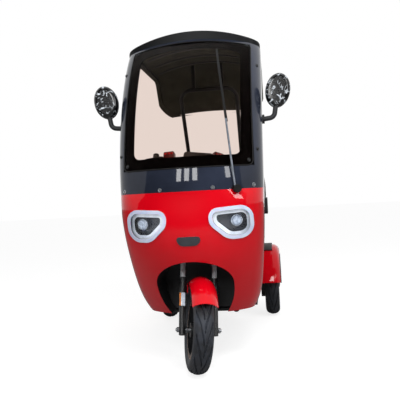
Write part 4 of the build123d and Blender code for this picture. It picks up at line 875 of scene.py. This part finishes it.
def makePad(name, node, body, low, high, spec):
    bm = roundedBlock(low, high, spec)
    mesh = bpy.data.meshes.new(name)
    bm.to_mesh(mesh)
    bm.free()
    piece = bpy.data.objects.new(name, mesh)
    scene.collection.objects.link(piece)
    remesh = piece.modifiers.new("even", "REMESH")
    remesh.mode = "VOXEL"
    remesh.voxel_size = spec["voxel"]
    even = bpy.data.meshes.new_from_object(piece.evaluated_get(bpy.context.evaluated_depsgraph_get()))
    piece.modifiers.clear()
    piece.data = even
    swell(piece, spec)
    sewChannels(piece, spec)
    piece.data.shade_smooth()
    smooth = piece.modifiers.new("soften", "SUBSURF")
    smooth.levels = smooth.render_levels = 1
    setMaterial(piece, vinylLeather)
    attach(piece, body)
    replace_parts(piece, node)


low, high = (-0.196, -0.0206, 0.6003), (0.196, 0.2564, 0.6903)  # the cushion's own box, without its hinge
makePad("driverSeatPad", "driver_cushion", "seat_lid", low, high, seatSpec)
low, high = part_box("driver_backrest")
makePad("driverBackPad", "driver_backrest", "chassis", low, high, backSpec)
low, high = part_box("passenger_cushion")
makePad("benchSeatPad", "passenger_cushion", "chassis", low, high, benchSpec)
low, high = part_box("passenger_backrest")
makePad("benchBackPad", "passenger_backrest", "chassis", low, high, benchBackSpec)
print("stage: seats")

# hinge leaf and barrel under the seat pad's front edge
hingeSpec = {"y": -0.0306, "z": 0.598, "radius": 0.008, "length": 0.178, "leaf": (0.178, 0.07, 0.005),
             "leafZ": 0.6033, "leafEdge": 0.001}


def makeHinge(spec):
    bm = bmesh.new()
    along = Matrix.Translation((0, spec["y"], spec["z"])) @ Matrix.Rotation(math.radians(90), 4, "Y")
    bmesh.ops.create_cone(bm, cap_ends=True, segments=24, radius1=spec["radius"], radius2=spec["radius"],
                          depth=spec["length"], matrix=along)
    leafAt = Matrix.Translation((0, spec["y"] + spec["leaf"][1] / 2, spec["leafZ"]))
    addBlock(bm, spec["leaf"], leafAt, spec["leafEdge"], 1)
    makePiece("seatHingeLeaf", bm, powderCoat, "seat_lid")


makeHinge(hingeSpec)

# white surround that the camera, gloss and glass see at full strength; the pale floor and a dark wall behind
# the camera are lifted for the camera and glass alone, so that paint mirrors them dark and keeps its colour
stageSpec = {"floor": "#a2a2a2", "floorLift": 0.8, "floorHalf": 30.0, "fill": 0.48, "wall": "#1c1c1e",
             "wallLift": 1.0, "wallY": -9.0, "wallHalf": 13.0, "wallFoot": 0.001, "wallTop": 14.0}


def stagePaint(name, color, glow):
    material, tree = newMaterial(name)
    path = addNode(tree, "ShaderNodeLightPath").outputs
    rays = {0: path["Is Camera Ray"], 1: path["Is Transmission Ray"]}
    shown = addNode(tree, "ShaderNodeMath", {"operation": "MAXIMUM"}, rays)
    lift = addNode(tree, "ShaderNodeMath", {"operation": "MULTIPLY", 1: glow}, {0: shown.outputs[0]})
    settings = {"Base Color": hexColor(color), "Roughness": 0.9, "Specular IOR Level": 0.0,
                "Emission Color": (1, 1, 1, 1)}
    links = {"Emission Strength": lift.outputs[0]}
    finishMaterial(tree, addNode(tree, "ShaderNodeBsdfPrincipled", settings, links))
    return material


def addStageSheet(name, corners, material):
    bm = bmesh.new()
    bm.faces.new([bm.verts.new(corner) for corner in corners])
    mesh = bpy.data.meshes.new(name)
    bm.to_mesh(mesh)
    bm.free()
    sheet = bpy.data.objects.new(name, mesh)
    scene.collection.objects.link(sheet)
    setMaterial(sheet, material)


def makeStage(spec):
    far = spec["floorHalf"]
    ground = [(-far, -far, 0), (far, -far, 0), (far, far, 0), (-far, far, 0)]
    addStageSheet("floor", ground, stagePaint("paleFloor", spec["floor"], spec["floorLift"]))
    half, y, foot, top = (spec[key] for key in ("wallHalf", "wallY", "wallFoot", "wallTop"))
    wall = [(-half, y, foot), (-half, y, top), (half, y, top), (half, y, foot)]
    addStageSheet("studioWall", wall, stagePaint("studioWall", spec["wall"], spec["wallLift"]))
    world = bpy.data.worlds.new("studio")
    scene.world = world
    world.use_nodes = True
    tree = world.node_tree
    tree.nodes.clear()
    path = addNode(tree, "ShaderNodeLightPath").outputs
    rays = {0: path["Is Camera Ray"], 1: path["Is Glossy Ray"]}
    seen = addNode(tree, "ShaderNodeMath", {"operation": "MAXIMUM"}, rays)
    rays = {0: seen.outputs[0], 1: path["Is Transmission Ray"]}
    shown = addNode(tree, "ShaderNodeMath", {"operation": "MAXIMUM"}, rays)
    level = {"To Min": spec["fill"], "To Max": 1.0}
    strength = addNode(tree, "ShaderNodeMapRange", level, {"Value": shown.outputs[0]}).outputs["Result"]
    back = addNode(tree, "ShaderNodeBackground", {"Color": (1, 1, 1, 1)}, {"Strength": strength})
    addNode(tree, "ShaderNodeOutputWorld", links={"Surface": back.outputs[0]})


makeStage(stageSpec)

# soft lamps, in metres and watts: the panes show as windows in the paint, the key would only veil the screen
frontPane = {"aim": (0, -0.8, 0.95), "size": (0.42, 1.3), "watts": 32, "mirrored": True}
lightSpec = {
    "topKey": {"place": (1.2, -3.3, 4.5), "aim": (0, -0.7, 1.0), "size": (3.4, 1.6), "watts": 155,
               "mirrored": False},
    "frontPane0": dict(frontPane, place=(-1.2, -4.9, 2.55)),
    "frontPane1": dict(frontPane, place=(-0.48, -4.9, 2.55)),
    "frontPane2": dict(frontPane, place=(0.24, -4.9, 2.55)),
    "sidePane": {"place": (2.15, -2.9, 2.35), "aim": (0, -0.6, 0.9), "size": (0.5, 1.4), "watts": 34,
                 "mirrored": True},
}


def makeLight(name, spec):
    data = bpy.data.lights.new(name, "AREA")
    data.shape = "RECTANGLE"
    data.size, data.size_y = spec["size"]
    data.energy = spec["watts"]
    lamp = bpy.data.objects.new(name, data)
    lamp.location = spec["place"]
    lamp.rotation_euler = (Vector(spec["aim"]) - Vector(spec["place"])).to_track_quat("-Z", "Y").to_euler()
    lamp.visible_glossy = spec["mirrored"]
    lamp.visible_transmission = False  # shadow rays carry light through the glass; these add only noise
    scene.collection.objects.link(lamp)


for lampName, lampSpec in lightSpec.items():
    makeLight(lampName, lampSpec)
print("stage: camera, floor and light")
